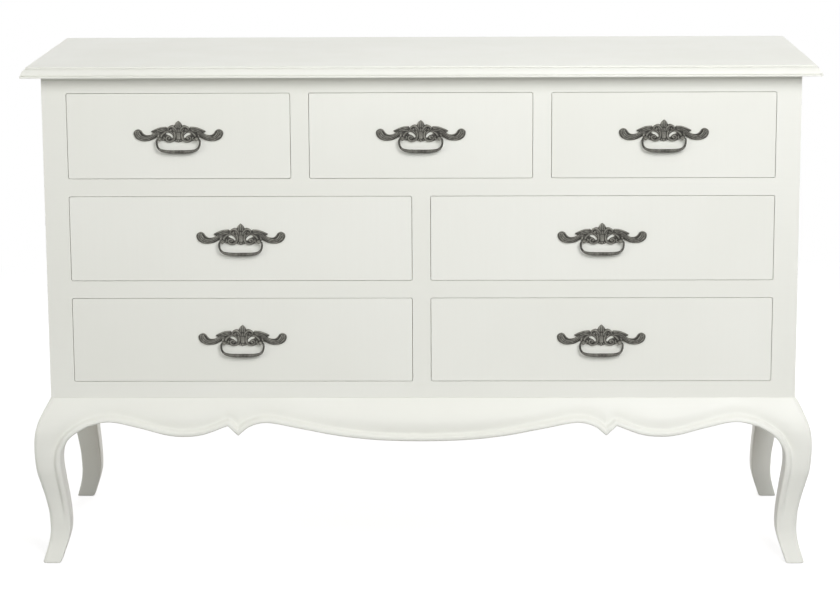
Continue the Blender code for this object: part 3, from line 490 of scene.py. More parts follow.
class Skirt:
    """Lower edge of one side of the base: up the left leg's inner edge, along the apron, and down."""

    def __init__(self, half_case, stretches):
        self.half_case = half_case
        self.half_span = half_case - POST
        rest = self.half_span - ARCH
        leg = [
            (-half_case + share * POST, low * CASE_BOTTOM)
            for low, _, share in LEG_SHARES if low <= SEAM_SHARE
        ]
        leg[-1] = (-self.half_span, CASE_BOTTOM - APRON_DROP)
        arch = [(-self.half_span + a * ARCH, CASE_BOTTOM - d * APRON_DROP) for a, d in ARCH_SHARES]
        runs = [[(-rest + a * rest, CASE_BOTTOM - d * APRON_DROP) for a, d in run] for run in stretches]
        runs[0] = [*leg, *arch, *runs[0]]
        middle = runs[-1] + mirrored(runs[-1][:-1])
        half = spline_through(middle, EDGE_STEPS)[:(len(runs[-1]) - 1) * EDGE_STEPS + 1]
        if len(runs) > 1:
            half = spline_through(runs[0], EDGE_STEPS) + half
        half = np.array([tuple(point) for point in half])
        self.corners = [run[0][0] for run in runs[1:]] + [run[-1][0] for run in runs[:-1]]
        seam = (len(leg) - 1) * EDGE_STEPS
        self.leg_line, self.apron_line = half[:seam + 1], half[seam:]
        self.line = np.vstack([half, half[-2::-1] * np.array([-1, 1])])

    def edge_z(self, x):
        return np.interp(-np.abs(x), self.apron_line[:, 0], self.apron_line[:, 1])

    def inward(self, z):
        """Inner edge of a leg at a height, measured in from the case's corner."""
        return np.interp(z, self.leg_line[:, 1], self.leg_line[:, 0]) + self.half_case

    def distance(self, x, z):
        """Distance of points on the face from the edge line."""
        points = np.stack([np.ravel(x), np.ravel(z)], 1)
        start, along = self.line[:-1], np.diff(self.line, axis=0)
        nearest = []
        for low in range(0, len(points), BATCH):
            offset = points[low:low + BATCH, None] - start
            t = np.clip((offset * along).sum(2) / (along**2).sum(1), 0, 1)
            gap = offset - t[..., None] * along
            nearest.append(np.sqrt((gap**2).sum(2)).min(1))
        return np.concatenate(nearest).reshape(np.shape(x))

    def rise(self, x, z):
        """Height of the bead and cove over the plain face; low on the legs it fades into an eased edge."""
        away, ease = self.distance(x, z) * 1000, EDGE_EASE * 1000
        shares = (share_between(z, *heights) for heights in (BEAD_FADE, BEAD_GROWTH))
        fade, grown = (t * t * (3 - 2 * t) for t in shares)
        strength = LEG_BEAD + (1 - LEG_BEAD) * grown
        inside = np.clip(ease - away, 0, None)
        eased = np.sqrt(np.clip(ease**2 - inside**2, 0, None)) - ease
        return (fade * strength * bead_rise(away) + (1 - fade) * eased) / 1000

    def columns(self):
        """Places along the apron, closer together by its corners and ends."""
        places = [-self.half_span]
        while places[-1] < 0:
            x = places[-1]
            away = min((abs(x - corner) for corner in self.corners), default=1.0)
            near = min(away, x + self.half_span) < NEAR
            step = CLOSE_STEP if away < CLOSE else NEAR_STEP if near else FAR_STEP
            places.append(min(x + step, 0.0))
        for corner in self.corners:
            nearest = min(range(len(places)), key=lambda k: abs(places[k] - corner))
            places[nearest] = corner
        places = np.array(places)
        return np.concatenate([places, -places[-2::-1]])

    def levels(self, x):
        """Heights of the points in the apron's column at x, from its lower edge to the case."""
        x, span = abs(x), SLOPE_SPAN
        edge = float(self.edge_z(x))
        slope = abs(float(self.edge_z(x - span) - self.edge_z(x + span))) / (2 * span)
        if x > self.half_span - span:
            slope = END_SLOPE
        stretch = min(math.hypot(1, slope), MOST_STRETCH)
        near = [edge + stretch * mm / 1000 for mm in EDGE_LINES]
        if CASE_BOTTOM - near[-1] <= LEAST_ROOM:
            squeeze = SQUEEZED_SHARE * (CASE_BOTTOM - edge) / (near[-1] - edge)
            near = [edge + (z - edge) * squeeze for z in near]
        room = CASE_BOTTOM - near[-1]
        return np.array(near + [near[-1] + room * share for share in APRON_SHARES])


def apron_parts(skirt):
    """Points and faces of one apron, open at its ends, in the frame (along, outward from the case, up)."""
    xs = skirt.columns()
    heights = np.stack([skirt.levels(x) for x in xs])
    count = heights.shape[1]
    outs = face_reach(heights) + skirt.rise(np.repeat(xs[:, None], count, 1), heights)
    points = []
    for x, out, zs in zip(xs, outs, heights):
        points += [(x, o, z) for o, z in zip(out, zs)]
        points += [(x, -APRON_BACK, CASE_BOTTOM), (x, -APRON_BACK, zs[0])]
    return points, ring_faces(len(xs), count + 2)


def quarter(centre, radius, steps):
    """Points of a quarter circle round (centre, centre), on the side that the radius's sign gives."""
    turns = [math.pi / 2 * k / steps for k in range(steps + 1)]
    return [(centre + radius * math.sin(turn), centre + radius * math.cos(turn)) for turn in turns]


def leg_points(front, side, z):
    """Outer and inner points of a leg at a height: p in from the case's corner along the front, q back."""
    out = float(face_reach(z))
    reach = float(front.inward(min(z, front.leg_line[-1, 1])))
    wide = reach + out - LEG_CORNER
    scale = min(1.0, LEG_LINES_SHARE * wide / (EDGE_LINES[-1] / 1000))
    spots = [mm / 1000 * scale for mm in EDGE_LINES]
    spots += [spots[-1] + (wide - spots[-1]) * share for share in LEG_FACE_SHARES]
    p = reach - np.array(spots)
    first, second = (
        list(zip(p, -out - skirt.rise(p - skirt.half_case, np.full(len(p), z)))) for skirt in (front, side)
    )
    corner = quarter(LEG_CORNER - out, -LEG_CORNER, CORNER_STEPS)[1:-1]
    back = min(APRON_BACK, reach * APRON_BACK / POST)
    inner = quarter(reach - LEG_INNER_ROUND, LEG_INNER_ROUND, INNER_STEPS)
    outer = [*first, *corner, *((q, p) for p, q in reversed(second))]
    return outer, [(back, reach), *inner, (reach, back)]


def band(first, second):
    """Faces between two runs of points."""
    return list(zip(first, first[1:], second[1:], second))


def leg_parts(front, side, open_front):
    """Points and faces of a leg, open above its seam where the aprons join it."""
    low = [FOOT_EASE * share for share in FOOT_SHARES]
    low += list(np.linspace(LEG_START, front.leg_line[-1, 1], LEG_LEVELS)[:-1])
    levels = low + list(front.levels(-front.half_span))
    base, top = len(low), len(levels) - 1
    points, outside, inside = [], [], []
    for level, z in enumerate(levels):
        outer, inner = leg_points(front, side, z)
        middle = np.mean(outer + inner, 0)
        shrink = 1.0
        if z < FOOT_EASE:
            shrink = 1 - FOOT_EASE * (1 - math.sqrt(1 - (1 - z / FOOT_EASE) ** 2)) / FOOT_HALF
        # Between the seam and the case only the outer face has points
        ring = outer + inner if level <= base or level == top else outer
        marks = [*range(len(points), len(points) + len(ring))]
        points += [(p, q, z) for p, q in middle + (np.array(ring) - middle) * shrink]
        outside.append(marks[:len(outer)])
        inside.append(marks[len(outer):])
    faces = []
    for level in range(top):
        faces += band(outside[level], outside[level + 1])
    round_back = [[outer[-1], *inner, outer[0]] for outer, inner in zip(outside, inside)]
    for level in range(base):
        faces += band(round_back[level], round_back[level + 1])
    faces += band(inside[base], inside[top])
    faces += [outside[0] + inside[0], (outside[top] + inside[top])[::-1]]
    if not open_front:
        column = [ring[0] for ring in outside[base:]]
        faces.append([*column, inside[top][-1], inside[base][-1]])
    return points, faces


def base_mesh():
    """The four legs and the front and side aprons, welded into one painted body."""
    front, side = Skirt(HALF_CASE, FRONT_EDGE_SHARES), Skirt(HALF_DEPTH, SIDE_EDGE_SHARES)
    points, faces = [], []

    def take(part, place, flip):
        start = len(points)
        points.extend(place(*point) for point in part[0])
        for face in part[1]:
            face = tuple(start + k for k in face)
            faces.append(face[::-1] if flip else face)

    take(apron_parts(front), lambda x, out, z: (x, FRONT_Y - out, z), False)
    aside = apron_parts(side)
    for hand in (-1, 1):
        take(aside, lambda y, out, z: (hand * (HALF_CASE + out), y, z), hand > 0)
    for end in (-1, 1):
        leg = leg_parts(front, side, end < 0)
        for hand in (-1, 1):
            take(
                leg, lambda p, q, z: (hand * (HALF_CASE - p), end * (HALF_DEPTH - q), z), hand * end < 0
            )
    return mesh_from("legs_and_aprons", points, faces, [PAINT], weld=2e-5)


place_piece(
    "legs_and_aprons", base_mesh(), "case",
    ["leg_front_left", "leg_front_right", "leg_rear_left", "leg_rear_right",
     "front_apron", "left_apron", "right_apron"],
    sharp=38,
)


# Case


def cell_mesh(name, xs, ys, zs, solid, skin, materials):
    """A body of the grid's boxes whose middles pass solid(x, y, z). skin gives each face's material."""
    lines, unit = (xs, ys, zs), np.eye(3, dtype=int)
    mid_x, mid_y, mid_z = ([(a + b) / 2 for a, b in zip(line, line[1:])] for line in lines)
    filled = np.pad(np.array([[[solid(x, y, z) for z in mid_z] for y in mid_y] for x in mid_x]), 1)
    faces, picks, index = [], [], {}
    for cell in np.argwhere(filled):
        for axis in range(3):
            across, up = np.delete(unit, axis, 0)
            for way in (-1, 1):
                if filled[tuple(cell + way * unit[axis])]:
                    continue
                low = cell - 1 + (way + 1) // 2 * unit[axis]
                keys = [tuple(low + a * across + b * up) for a, b in ((0, 0), (1, 0), (1, 1), (0, 1))]
                faces.append([index.setdefault(key, len(index)) for key in keys])
                middle = np.mean([[line[n] for line, n in zip(lines, key)] for key in keys], 0)
                picks.append(skin(axis, way, *middle))
    points = [[line[n] for line, n in zip(lines, key)] for key in index]
    return mesh_from(name, points, faces, materials, picks)


def openings(row):
    """Half the width of a row's openings, and their middles."""
    count = len(PLACES[row])
    half = (HALF_FRAME - (count - 1) * MULLION / 2) / count
    return half, [(k - (count - 1) / 2) * (2 * half + MULLION) for k in range(count)]


OPENINGS = [openings(row) for row in range(len(PLACES))]


def in_opening(x, z):
    return any(
        floor < z < floor + OPENING and abs(x - centre) < half
        for floor, (half, centres) in zip(ROW_FLOORS, OPENINGS) for centre in centres
    )


def shell_solid(x, y, z):
    if y < FRAME_BACK_Y:
        return not in_opening(x, z)
    return abs(x) > (HALF_INSIDE if y < BACK_PANEL_Y else HALF_INSIDE + PANEL_LAP)


def shell_skin(axis, way, x, y, z):
    """Paint outside and in the drawer openings, bare timber within the case."""
    outside = (axis == 1 and y < FRONT_Y + SEAT) or (axis == 0 and abs(x) > HALF_CASE - SEAT)
    reveal = y < FRAME_BACK_Y and axis != 1 and abs(x) < HALF_FRAME + SEAT
    return 0 if outside or reveal or (axis == 2 and way < 0) else 1


def shell_mesh():
    xs = {way * x for way in (-1, 1) for x in (HALF_CASE, HALF_INSIDE, HALF_INSIDE + PANEL_LAP)}
    zs = {CASE_BOTTOM, CASE_TOP}
    for floor, (half, centres) in zip(ROW_FLOORS, OPENINGS):
        zs |= {floor, floor + OPENING}
        xs |= {round(centre + way * half, 7) for centre in centres for way in (-1, 1)}
    ys = [FRONT_Y, FRAME_BACK_Y, BACK_PANEL_Y, BACK_Y]
    return cell_mesh("case_shell", sorted(xs), ys, sorted(zs), shell_solid, shell_skin, [PAINT, TIMBER])


shell = place_piece(
    "case_shell", shell_mesh(), "case",
    ["left_stile", "right_stile", "top_rail", "upper_rail", "lower_rail", "bottom_rail",
     "upper_mullion_left", "upper_mullion_right", "middle_mullion", "lower_mullion",
     "left_side_panel", "right_side_panel"],
)
round_corners(shell, FRONT_CORNER + FRONT_GAP, [
    (centre + way * half, floor + rise)
    for floor, (half, centres) in zip(ROW_FLOORS, OPENINGS) for centre in centres
    for way in (-1, 1) for rise in (0, OPENING)
], FRAME_BACK_Y)
ease_edges(shell, SHELL_EASE)


def top_mesh():
    """The top, moulded on its front and ends: lip, quirk, leaning roll, slot, and arris above."""
    ease, halfway = LIP_EASE, 0.3 * LIP_EASE
    edge = [(ease, 0.0), (halfway, halfway), (0.0, ease)]
    edge += [(0.0, TOP_LIP - ease), (halfway, TOP_LIP - halfway), (ease, TOP_LIP), TOP_QUIRK]
    radius, foot, head = TOP_ROLL
    lean = math.radians(foot)
    centre = (ease * 2 + radius * math.cos(lean), TOP_QUIRK[1] + ease - radius * math.sin(lean))
    for step in range(ROLL_STEPS + 1):
        lean = math.radians(foot + (head - foot) * step / ROLL_STEPS)
        edge.append((centre[0] - radius * math.cos(lean), centre[1] + radius * math.sin(lean)))
    inset, low, high = TOP_SLOT
    edge += [(inset, low), (inset, high)]
    inset, low, deep = TOP_ARRIS
    for step in range(ARRIS_STEPS + 1):
        turn = math.pi / 2 * step / ARRIS_STEPS
        edge.append((inset + deep * (1 - math.cos(turn)), low + (TOP_THICK - low) * math.sin(turn)))
    points = []
    for inset, rise in edge:
        side, z = HALF_CASE + TOP_OVERHANG - inset, CASE_TOP + rise
        front, rear = FRONT_Y - TOP_OVERHANG + inset, BACK_Y + TOP_OVERHANG
        points += [(-side, front, z), (side, front, z), (side, rear, z), (-side, rear, z)]
    last = len(points) - 4
    faces = [(0, 3, 2, 1), *ring_faces(len(edge), 4), tuple(range(last, last + 4))]
    return mesh_from("moulded_top", points, faces, [PAINT])


top = place_piece("moulded_top", top_mesh(), "case", ["top_panel"], sharp=30)
ease_edges(top, TOP_EASE)


# Drawers


def front_mesh(row):
    """A drawer front in its slide's frame, rebated at the ends and grooved for the bottom."""
    half = OPENINGS[row][0] - FRONT_GAP
    rebate = OPENINGS[row][0] - FRONT_REBATE
    xs = [-half, -rebate, rebate, half]
    ys = [SEAT, FRONT_LIP, GROOVE_Y, FRONT_BACK]
    zs = [FRONT_GAP, *GROOVE_Z, OPENING - FRONT_GAP]

    def solid(x, y, z):
        if y > GROOVE_Y and GROOVE_Z[0] < z < GROOVE_Z[1]:
            return False
        return y < FRONT_LIP or abs(x) < rebate

    def skin(axis, way, x, y, z):
        return 0 if y < FRONT_LIP - SEAT or (axis == 2 and way > 0) else 1

    return cell_mesh(f"drawer_front_row_{row}", xs, ys, zs, solid, skin, [UPRIGHT_PAINT, TIMBER])


# Handles, in mm: x across from the middle, y up from the pivots, z out from the drawer
PLATE_FACE = 2.0
PLATE_EDGE = (
    ((0.0, 29.8), (2.3, 28.1), (4.8, 25.2), (6.7, 21.7)),
    ((6.7, 21.7), (9.2, 22.6), (12.6, 22.0), (15.9, 20.2), (18.2, 17.6)),
    ((18.2, 17.6), (19.6, 19.6), (24.0, 19.4), (30.5, 17.2), (38.5, 14.0), (45.0, 12.6)),
    ((45.0, 12.6), (43.6, 10.6), (40.0, 9.6)),
    ((40.0, 9.6), (46.0, 6.6), (53.0, 6.2), (57.6, 9.2), (61.2, 14.0), (66.2, 15.8), (71.6, 13.6),
     (73.5, 8.8), (70.6, 1.6), (63.0, -3.0), (54.5, -4.1), (45.5, -2.8), (38.0, 0.2), (34.4, 3.0)),
    ((34.4, 3.0), (33.4, -0.6), (31.6, -2.8), (27.0, -2.8), (22.4, -4.0), (17.0, -6.0), (11.5, -6.0),
     (6.6, -3.8)),
    ((6.6, -3.8), (4.6, -5.0), (2.4, -5.2), (0.0, -6.3)),
)
PLATE_WINDOW = (
    (20.6, 8.2), (18.6, 10.0), (15.6, 10.2), (11.6, 8.0), (9.0, 4.8), (8.6, 2.0),
    (10.2, 1.2), (12.0, 3.2), (14.6, 5.3), (17.6, 6.4),
)
# Raised work on the right half, each a run of (x, y, z, radius)
RIBS = (
    # arm: full body, then three cords along it
    ((68.0, 10.4, 1.2, 4.9), (65.6, 6.2, 1.4, 5.2), (60.6, 2.0, 1.4, 4.8), (54.0, 0.9, 1.2, 4.3),
     (46.5, 2.4, 1.0, 3.8), (39.5, 6.2, 0.9, 3.4), (33.5, 10.4, 0.8, 2.8), (28.0, 13.4, 0.6, 2.0)),
    ((69.4, 12.4, 3.6, 1.3), (68.6, 7.2, 4.8, 1.5), (64.6, 2.4, 5.0, 1.4), (58.6, -0.8, 4.5, 1.2),
     (51.5, -0.9, 3.9, 1.1), (44.0, 1.6, 3.4, 1.0), (37.0, 6.0, 2.9, 0.9), (31.0, 10.0, 2.6, 0.8)),
    ((65.4, 12.8, 3.8, 1.3), (63.2, 8.4, 5.2, 1.4), (59.6, 4.4, 5.0, 1.3), (54.4, 3.0, 4.5, 1.1),
     (47.6, 4.4, 3.9, 1.0), (41.0, 7.8, 3.4, 0.9), (35.0, 12.0, 2.9, 0.8), (30.0, 14.6, 2.5, 0.7)),
    ((67.4, 13.4, 3.6, 1.0), (66.0, 8.0, 5.7, 1.0), (62.2, 3.6, 5.7, 0.95), (56.2, 1.1, 5.2, 0.9),
     (49.0, 2.0, 4.6, 0.8), (42.0, 5.0, 4.0, 0.7), (36.0, 9.0, 3.4, 0.6)),
    # leaf over the arm: body, ridge and two veins
    ((44.0, 12.2, 0.8, 0.9), (40.0, 13.2, 1.4, 1.9), (34.0, 15.2, 1.8, 2.5), (28.0, 17.0, 1.8, 2.5),
     (22.0, 18.0, 1.4, 1.9), (19.4, 17.6, 1.0, 1.2)),
    ((44.4, 12.4, 1.6, 0.5), (38.0, 15.0, 3.4, 0.8), (31.0, 17.6, 4.1, 0.9), (24.5, 18.8, 3.7, 0.9),
     (20.4, 18.4, 2.8, 0.8)),
    ((42.6, 10.8, 1.6, 0.6), (37.0, 12.4, 3.0, 0.75), (31.0, 14.6, 3.8, 0.85), (25.0, 16.2, 3.6, 0.8),
     (20.6, 15.8, 2.6, 0.7)),
    ((40.8, 10.2, 1.4, 0.6), (35.4, 10.8, 2.4, 0.7), (29.4, 12.6, 3.0, 0.8), (24.0, 13.6, 2.9, 0.75),
     (20.6, 12.2, 2.2, 0.6)),
    # scroll from below the bud, out and over, curling in at its outer end
    ((1.6, 10.6, 1.8, 1.3), (3.4, 14.6, 2.8, 1.6), (6.0, 18.0, 3.3, 1.8), (9.4, 20.2, 3.5, 1.9),
     (13.0, 20.2, 3.4, 1.8), (15.8, 18.0, 3.0, 1.6), (15.9, 15.0, 2.8, 1.35), (13.2, 13.9, 3.0, 1.3),
     (11.6, 15.6, 3.4, 1.3)),
    ((12.0, 15.4, 2.8, 1.8), (11.8, 15.6, 3.4, 1.6)),
    ((4.6, 11.0, 1.6, 1.0), (6.8, 14.2, 2.2, 1.2), (9.4, 17.0, 2.3, 1.2)),
    # stem beside the window and the lower scroll that it runs into
    ((7.4, 11.4, 1.6, 1.5), (6.4, 8.6, 2.0, 1.8), (6.0, 5.0, 2.3, 2.0), (6.8, 1.0, 2.7, 2.0),
     (9.2, -2.2, 3.2, 1.9), (13.2, -3.9, 3.4, 1.8), (17.4, -3.2, 3.3, 1.7), (20.0, -0.4, 3.2, 1.5),
     (19.2, 2.6, 3.2, 1.35), (16.4, 3.6, 3.2, 1.25), (14.2, 2.0, 3.3, 1.25), (15.2, 0.2, 3.6, 1.3)),
    ((15.8, 0.4, 2.8, 1.9), (15.6, 0.6, 3.9, 1.6)),
    # outer scroll over the window, down to the post
    ((19.4, 11.2, 2.0, 1.0), (23.0, 9.6, 2.9, 1.3), (26.6, 6.4, 3.3, 1.5), (28.0, 2.6, 3.3, 1.6),
     (26.2, -0.8, 3.2, 1.5), (23.4, 0.4, 3.2, 1.25), (23.4, 3.0, 3.3, 1.3)),
    ((23.9, 2.2, 2.8, 1.7), (24.0, 2.2, 3.6, 1.5)),
    # rim over the window
    ((21.0, 10.4, 1.6, 0.8), (17.6, 12.2, 2.0, 1.0), (13.4, 11.6, 2.3, 1.1), (9.4, 8.6, 2.4, 1.0),
     (7.2, 4.6, 2.4, 0.9)),
    # lobe at the outer end of the body, by the post
    ((33.0, 6.8, 1.2, 2.0), (32.6, 3.4, 1.6, 2.3), (31.0, 0.4, 2.0, 2.6), (30.0, -0.2, 2.4, 2.6)),
)
# Rounded bosses: x, y, z, then half sizes
BOSSES = (
    # bud with its ridge, then the body below it, and the small drops along the lower edge
    (0.0, 22.6, 1.9, 5.6, 6.4, 2.9), (0.0, 23.6, 3.4, 1.5, 5.6, 2.0), (3.0, 20.2, 2.2, 2.5, 4.2, 2.2),
    (0.0, 13.8, 2.0, 2.0, 3.4, 2.5), (0.0, 5.4, 1.4, 4.6, 8.4, 2.4), (0.0, -3.6, 1.8, 2.1, 2.5, 2.2),
    (3.9, -3.0, 1.5, 1.6, 1.6, 1.8),
)
POST_AT = 30.0
POST_RADIUS = 3.1
STANDOFF = 8.0
PIN_TIP = 31.3
BORE_RADIUS = 1.75
BORE_FLOOR = 30.7
# Half of the bail: x, y, radius
BAIL = (
    (PIN_TIP, 0.0, 1.4), (32.2, 0.0, 1.4), (33.3, -0.05, 1.45), (34.4, -0.9, 1.6), (35.1, -2.8, 1.7),
    (35.3, -5.6, 1.65), (35.0, -9.0, 1.65), (33.9, -12.6, 1.75), (31.6, -15.9, 1.95), (28.0, -18.3, 2.2),
    (23.0, -19.8, 2.6), (17.0, -20.6, 2.9), (9.0, -21.0, 3.1), (0.0, -21.0, 3.15),
)
# The slab under the raised work reaches this far into the drawer before it is cut off flat
SLAB_UNDER = 1.0
VOXEL = 0.36
KEPT_TRIANGLES = 0.45
# Shape of a post in shares of its radius, by height over the drawer and then by depth below its end
POST_FOOT = ((0.6, 1.22), (2.6, 1.06), (4.6, 1.0))
POST_HEAD = ((2.2, 1.0), (1.1, 0.90), (0.7, 0.62))
BORE_DEPTH = 5.0
# How far the end of a bar bulges, in shares of its radius
BAR_BULGE = 0.55
# Heights over the surroundings between which the plate's metal becomes rubbed
PLATE_WEAR = (-0.02, 0.16)
# Wear of the bail, what the grip adds, where the grip starts, and the middle and spread of its ridge
BAIL_WEAR, GRIP_WEAR = 0.15, 0.42
GRIP_DROP = (15.0, 19.0)
RIDGE, RIDGE_SPREAD = 1.9, 0.9
# Radii of the screws' heads, and the shape of a handle screw's head by rise and share of the radius
HANDLE_SCREW, BACK_SCREW = 4.1, 3.0
SCREW_HEAD = ((0.0, 1.0), (0.5, 1.0), (1.2, 0.90), (1.8, 0.70), (2.15, 0.39))
SCREW_SIDES = 20
DIP_SHARE = 0.27
SCREW_WEAR = 0.7


def skin_rings(shape, rings):
    """Joins each ring of points in a bmesh to the next."""
    for ring, following in zip(rings, rings[1:]):
        for n in range(len(ring)):
            m = (n + 1) % len(ring)
            shape.faces.new((ring[n], ring[m], following[m], following[n]))


def close_ring(shape, ring, place):
    """Closes a ring of points in a bmesh with triangles to one more point."""
    tip = shape.verts.new(place)
    for n in range(len(ring)):
        shape.faces.new((ring[n], ring[(n + 1) % len(ring)], tip))


def tube(shape, stations, steps, sides):
    """Adds a closed round bar to a bmesh along stations of (x, y, z, radius)."""
    path = spline_through(stations, steps)
    rings = []
    for k, station in enumerate(path):
        before, after = path[max(k - 1, 0)], path[min(k + 1, len(path) - 1)]
        along = (after.xyz - before.xyz).normalized()
        across = along.cross(Vector((0, 0, 1)))
        if across.length < 1e-4:
            across = Vector((1, 0, 0))
        across.normalize()
        up = across.cross(along).normalized()
        ring = []
        for n in range(sides):
            turn = 2 * math.pi * n / sides
            offset = (across * math.cos(turn) + up * math.sin(turn)) * station.w
            ring.append(shape.verts.new(station.xyz + offset))
        rings.append(ring)
    skin_rings(shape, rings)
    for ring, before, after in ((rings[0], path[1], path[0]), (rings[-1], path[-2], path[-1])):
        centre = sum((v.co for v in ring), Vector()) / sides
        close_ring(shape, ring, centre + (after.xyz - before.xyz).normalized() * after.w * BAR_BULGE)


def modified(mesh, *settings):
    """The mesh after a run of modifiers, each given as (kind, values)."""
    holder = linked("work", mesh)
    for kind, values in settings:
        change = holder.modifiers.new(kind, kind)
        for key, value in values.items():
            setattr(change, key, value)
    return baked(holder)


def plate_slab():
    """The pierced plate that the raised work stands on, as a bmesh."""
    right = []
    for run in PLATE_EDGE:
        right += [tuple(point) for point in spline_through(run, 4)[:-1]]
    right.append(PLATE_EDGE[-1][-1])
    window = [tuple(point) for point in spline_through([*PLATE_WINDOW, PLATE_WINDOW[0]], 3)[:-1]]
    outline = right + mirrored(right[1:-1])
    thickness = PLATE_FACE + SLAB_UNDER
    curve = bpy.data.curves.new("slab", "CURVE")
    curve.dimensions = "2D"
    curve.fill_mode = "BOTH"
    curve.extrude = thickness / 2
    for points in (outline, window, [(-x, y) for x, y in window]):
        line = curve.splines.new("POLY")
        line.points.add(len(points) - 1)
        for point, (x, y) in zip(line.points, points):
            point.co = (x, y, 0, 1)
        line.use_cyclic_u = True
    shape = bmesh.new()
    shape.from_mesh(baked(linked("slab", curve)))
    bmesh.ops.remove_doubles(shape, verts=shape.verts, dist=1e-4)
    bmesh.ops.translate(shape, verts=shape.verts, vec=(0, 0, PLATE_FACE - thickness / 2))
    return shape


def handle_plate_mesh():
    """The cast plate: scrolls, leaves and a bud melted together on a pierced slab, with bored posts."""
    shape = plate_slab()
    for run in RIBS:
        for hand in (1, -1):
            tube(shape, [(hand * x, y, z, r) for x, y, z, r in run], 4, 10)
    for x, y, z, wide, tall, deep in BOSSES:
        for hand in ((1, -1) if x else (1,)):
            place = Matrix.Translation((hand * x, y, z)) @ Matrix.Diagonal((wide, tall, deep, 1))
            bmesh.ops.create_uvsphere(shape, u_segments=16, v_segments=10, radius=1, matrix=place)
    end = STANDOFF + POST_RADIUS
    profile = [*POST_FOOT, *((end - down, share) for down, share in POST_HEAD)]
    bores = bmesh.new()
    for hand in (1, -1):
        tube(shape, [(hand * POST_AT, 0, z, POST_RADIUS * share) for z, share in profile], 2, 24)
        middle = Matrix.Translation((hand * (BORE_FLOOR + BORE_DEPTH / 2), 0, STANDOFF))
        bmesh.ops.create_cone(
            bores, cap_ends=True, segments=32, radius1=BORE_RADIUS, radius2=BORE_RADIUS, depth=BORE_DEPTH,
            matrix=middle @ Matrix.Rotation(math.pi / 2, 4, "Y"),
        )
    drill = linked("drill", mesh_of(bores, "handle_bores"))
    mesh = modified(
        mesh_of(shape, "handle_plate_parts"),
        ("REMESH", {"mode": "VOXEL", "voxel_size": VOXEL, "use_smooth_shade": True}),
        ("SMOOTH", {"factor": 0.5, "iterations": 2}),
        ("DECIMATE", {"ratio": KEPT_TRIANGLES}),
        ("BOOLEAN", {"operation": "DIFFERENCE", "object": drill, "solver": "EXACT"}),
    )
    bpy.data.objects.remove(drill)
    shape = bmesh.new()
    shape.from_mesh(mesh)
    whole = [*shape.verts, *shape.edges, *shape.faces]
    cut = bmesh.ops.bisect_plane(
        shape, geom=whole, dist=1e-4, plane_co=(0, 0, 0), plane_no=(0, 0, -1), clear_outer=True
    )
    rims = [part for part in cut["geom_cut"] if isinstance(part, bmesh.types.BMEdge)]
    bmesh.ops.triangle_fill(shape, use_beauty=True, use_dissolve=False, edges=rims, normal=(0, 0, -1))
    return mesh_of(shape, "handle_plate")


def bail_mesh():
    """The bail: a drooping loop with a thick grip, its ends turned in as pivot pins."""
    shape = bmesh.new()
    right = [(x, y, 0.0, r) for x, y, r in BAIL]
    tube(shape, right + mirrored(right[:-1]), 5, 16)
    return mesh_of(shape, "handle_bail")


def screws_mesh(name, spots, size):
    """Pan-head screws that face the back, at (x, z) spots in mm, with a dip for the driver."""
    turns = [2 * math.pi * n / SCREW_SIDES for n in range(SCREW_SIDES)]
    shape = bmesh.new()
    for x, z in spots:
        rings = []
        for rise, share in SCREW_HEAD:
            y, reach = rise * size / HANDLE_SCREW, size * share
            rings.append([
                shape.verts.new((x + reach * math.cos(turn), y, z + reach * math.sin(turn)))
                for turn in turns
            ])
        skin_rings(shape, rings)
        shape.faces.new(rings[0])
        close_ring(shape, rings[-1], (x, size * DIP_SHARE, z))
    return mesh_of(shape, name)


def raised_share(mesh):
    """How raised each point is over its surroundings, from 0 to 1."""
    normals = np.array([v.normal for v in mesh.vertices])
    places = np.array([v.co for v in mesh.vertices])
    around = [[] for _ in mesh.vertices]
    for edge in mesh.edges:
        a, b = edge.vertices
        around[a].append(b)
        around[b].append(a)
    smooth = places.copy()
    for _ in range(6):
        smooth = np.array([smooth[ring].mean(0) if ring else smooth[k] for k, ring in enumerate(around)])
    return share_between(((places - smooth) * normals).sum(1), *PLATE_WEAR)


def grip_share(mesh):
    """How rubbed each point of the bail is: most along the ridge of its grip."""
    rise = np.array([v.co.z for v in mesh.vertices])
    grip = share_between([-v.co.y for v in mesh.vertices], *GRIP_DROP)
    return BAIL_WEAR + GRIP_WEAR * grip * np.exp(-((rise - RIDGE) / RIDGE_SPREAD) ** 2)


def in_metal(mesh, wear, turn=Matrix()):
    """A mesh in mm, brought to metres and turned, in metal that is rubbed where the wear is high."""
    attribute = mesh.attributes.new("wear", "FLOAT", "POINT")
    attribute.data.foreach_set("value", np.asarray(wear, np.float32))
    mesh.transform(turn @ Matrix.Scale(0.001, 4))
    mesh.materials.clear()
    mesh.materials.append(METAL)
    return mesh


def metal_screws(name, spots, size):
    mesh = screws_mesh(name, spots, size)
    return in_metal(mesh, np.full(len(mesh.vertices), SCREW_WEAR))


STAND_UP = Matrix.Rotation(math.pi / 2, 4, "X")
plate, bail = handle_plate_mesh(), bail_mesh()
in_metal(plate, raised_share(plate), STAND_UP)
in_metal(bail, grip_share(bail), STAND_UP)
screws = metal_screws("handle_screws", [(POST_AT, 0), (-POST_AT, 0)], HANDLE_SCREW)

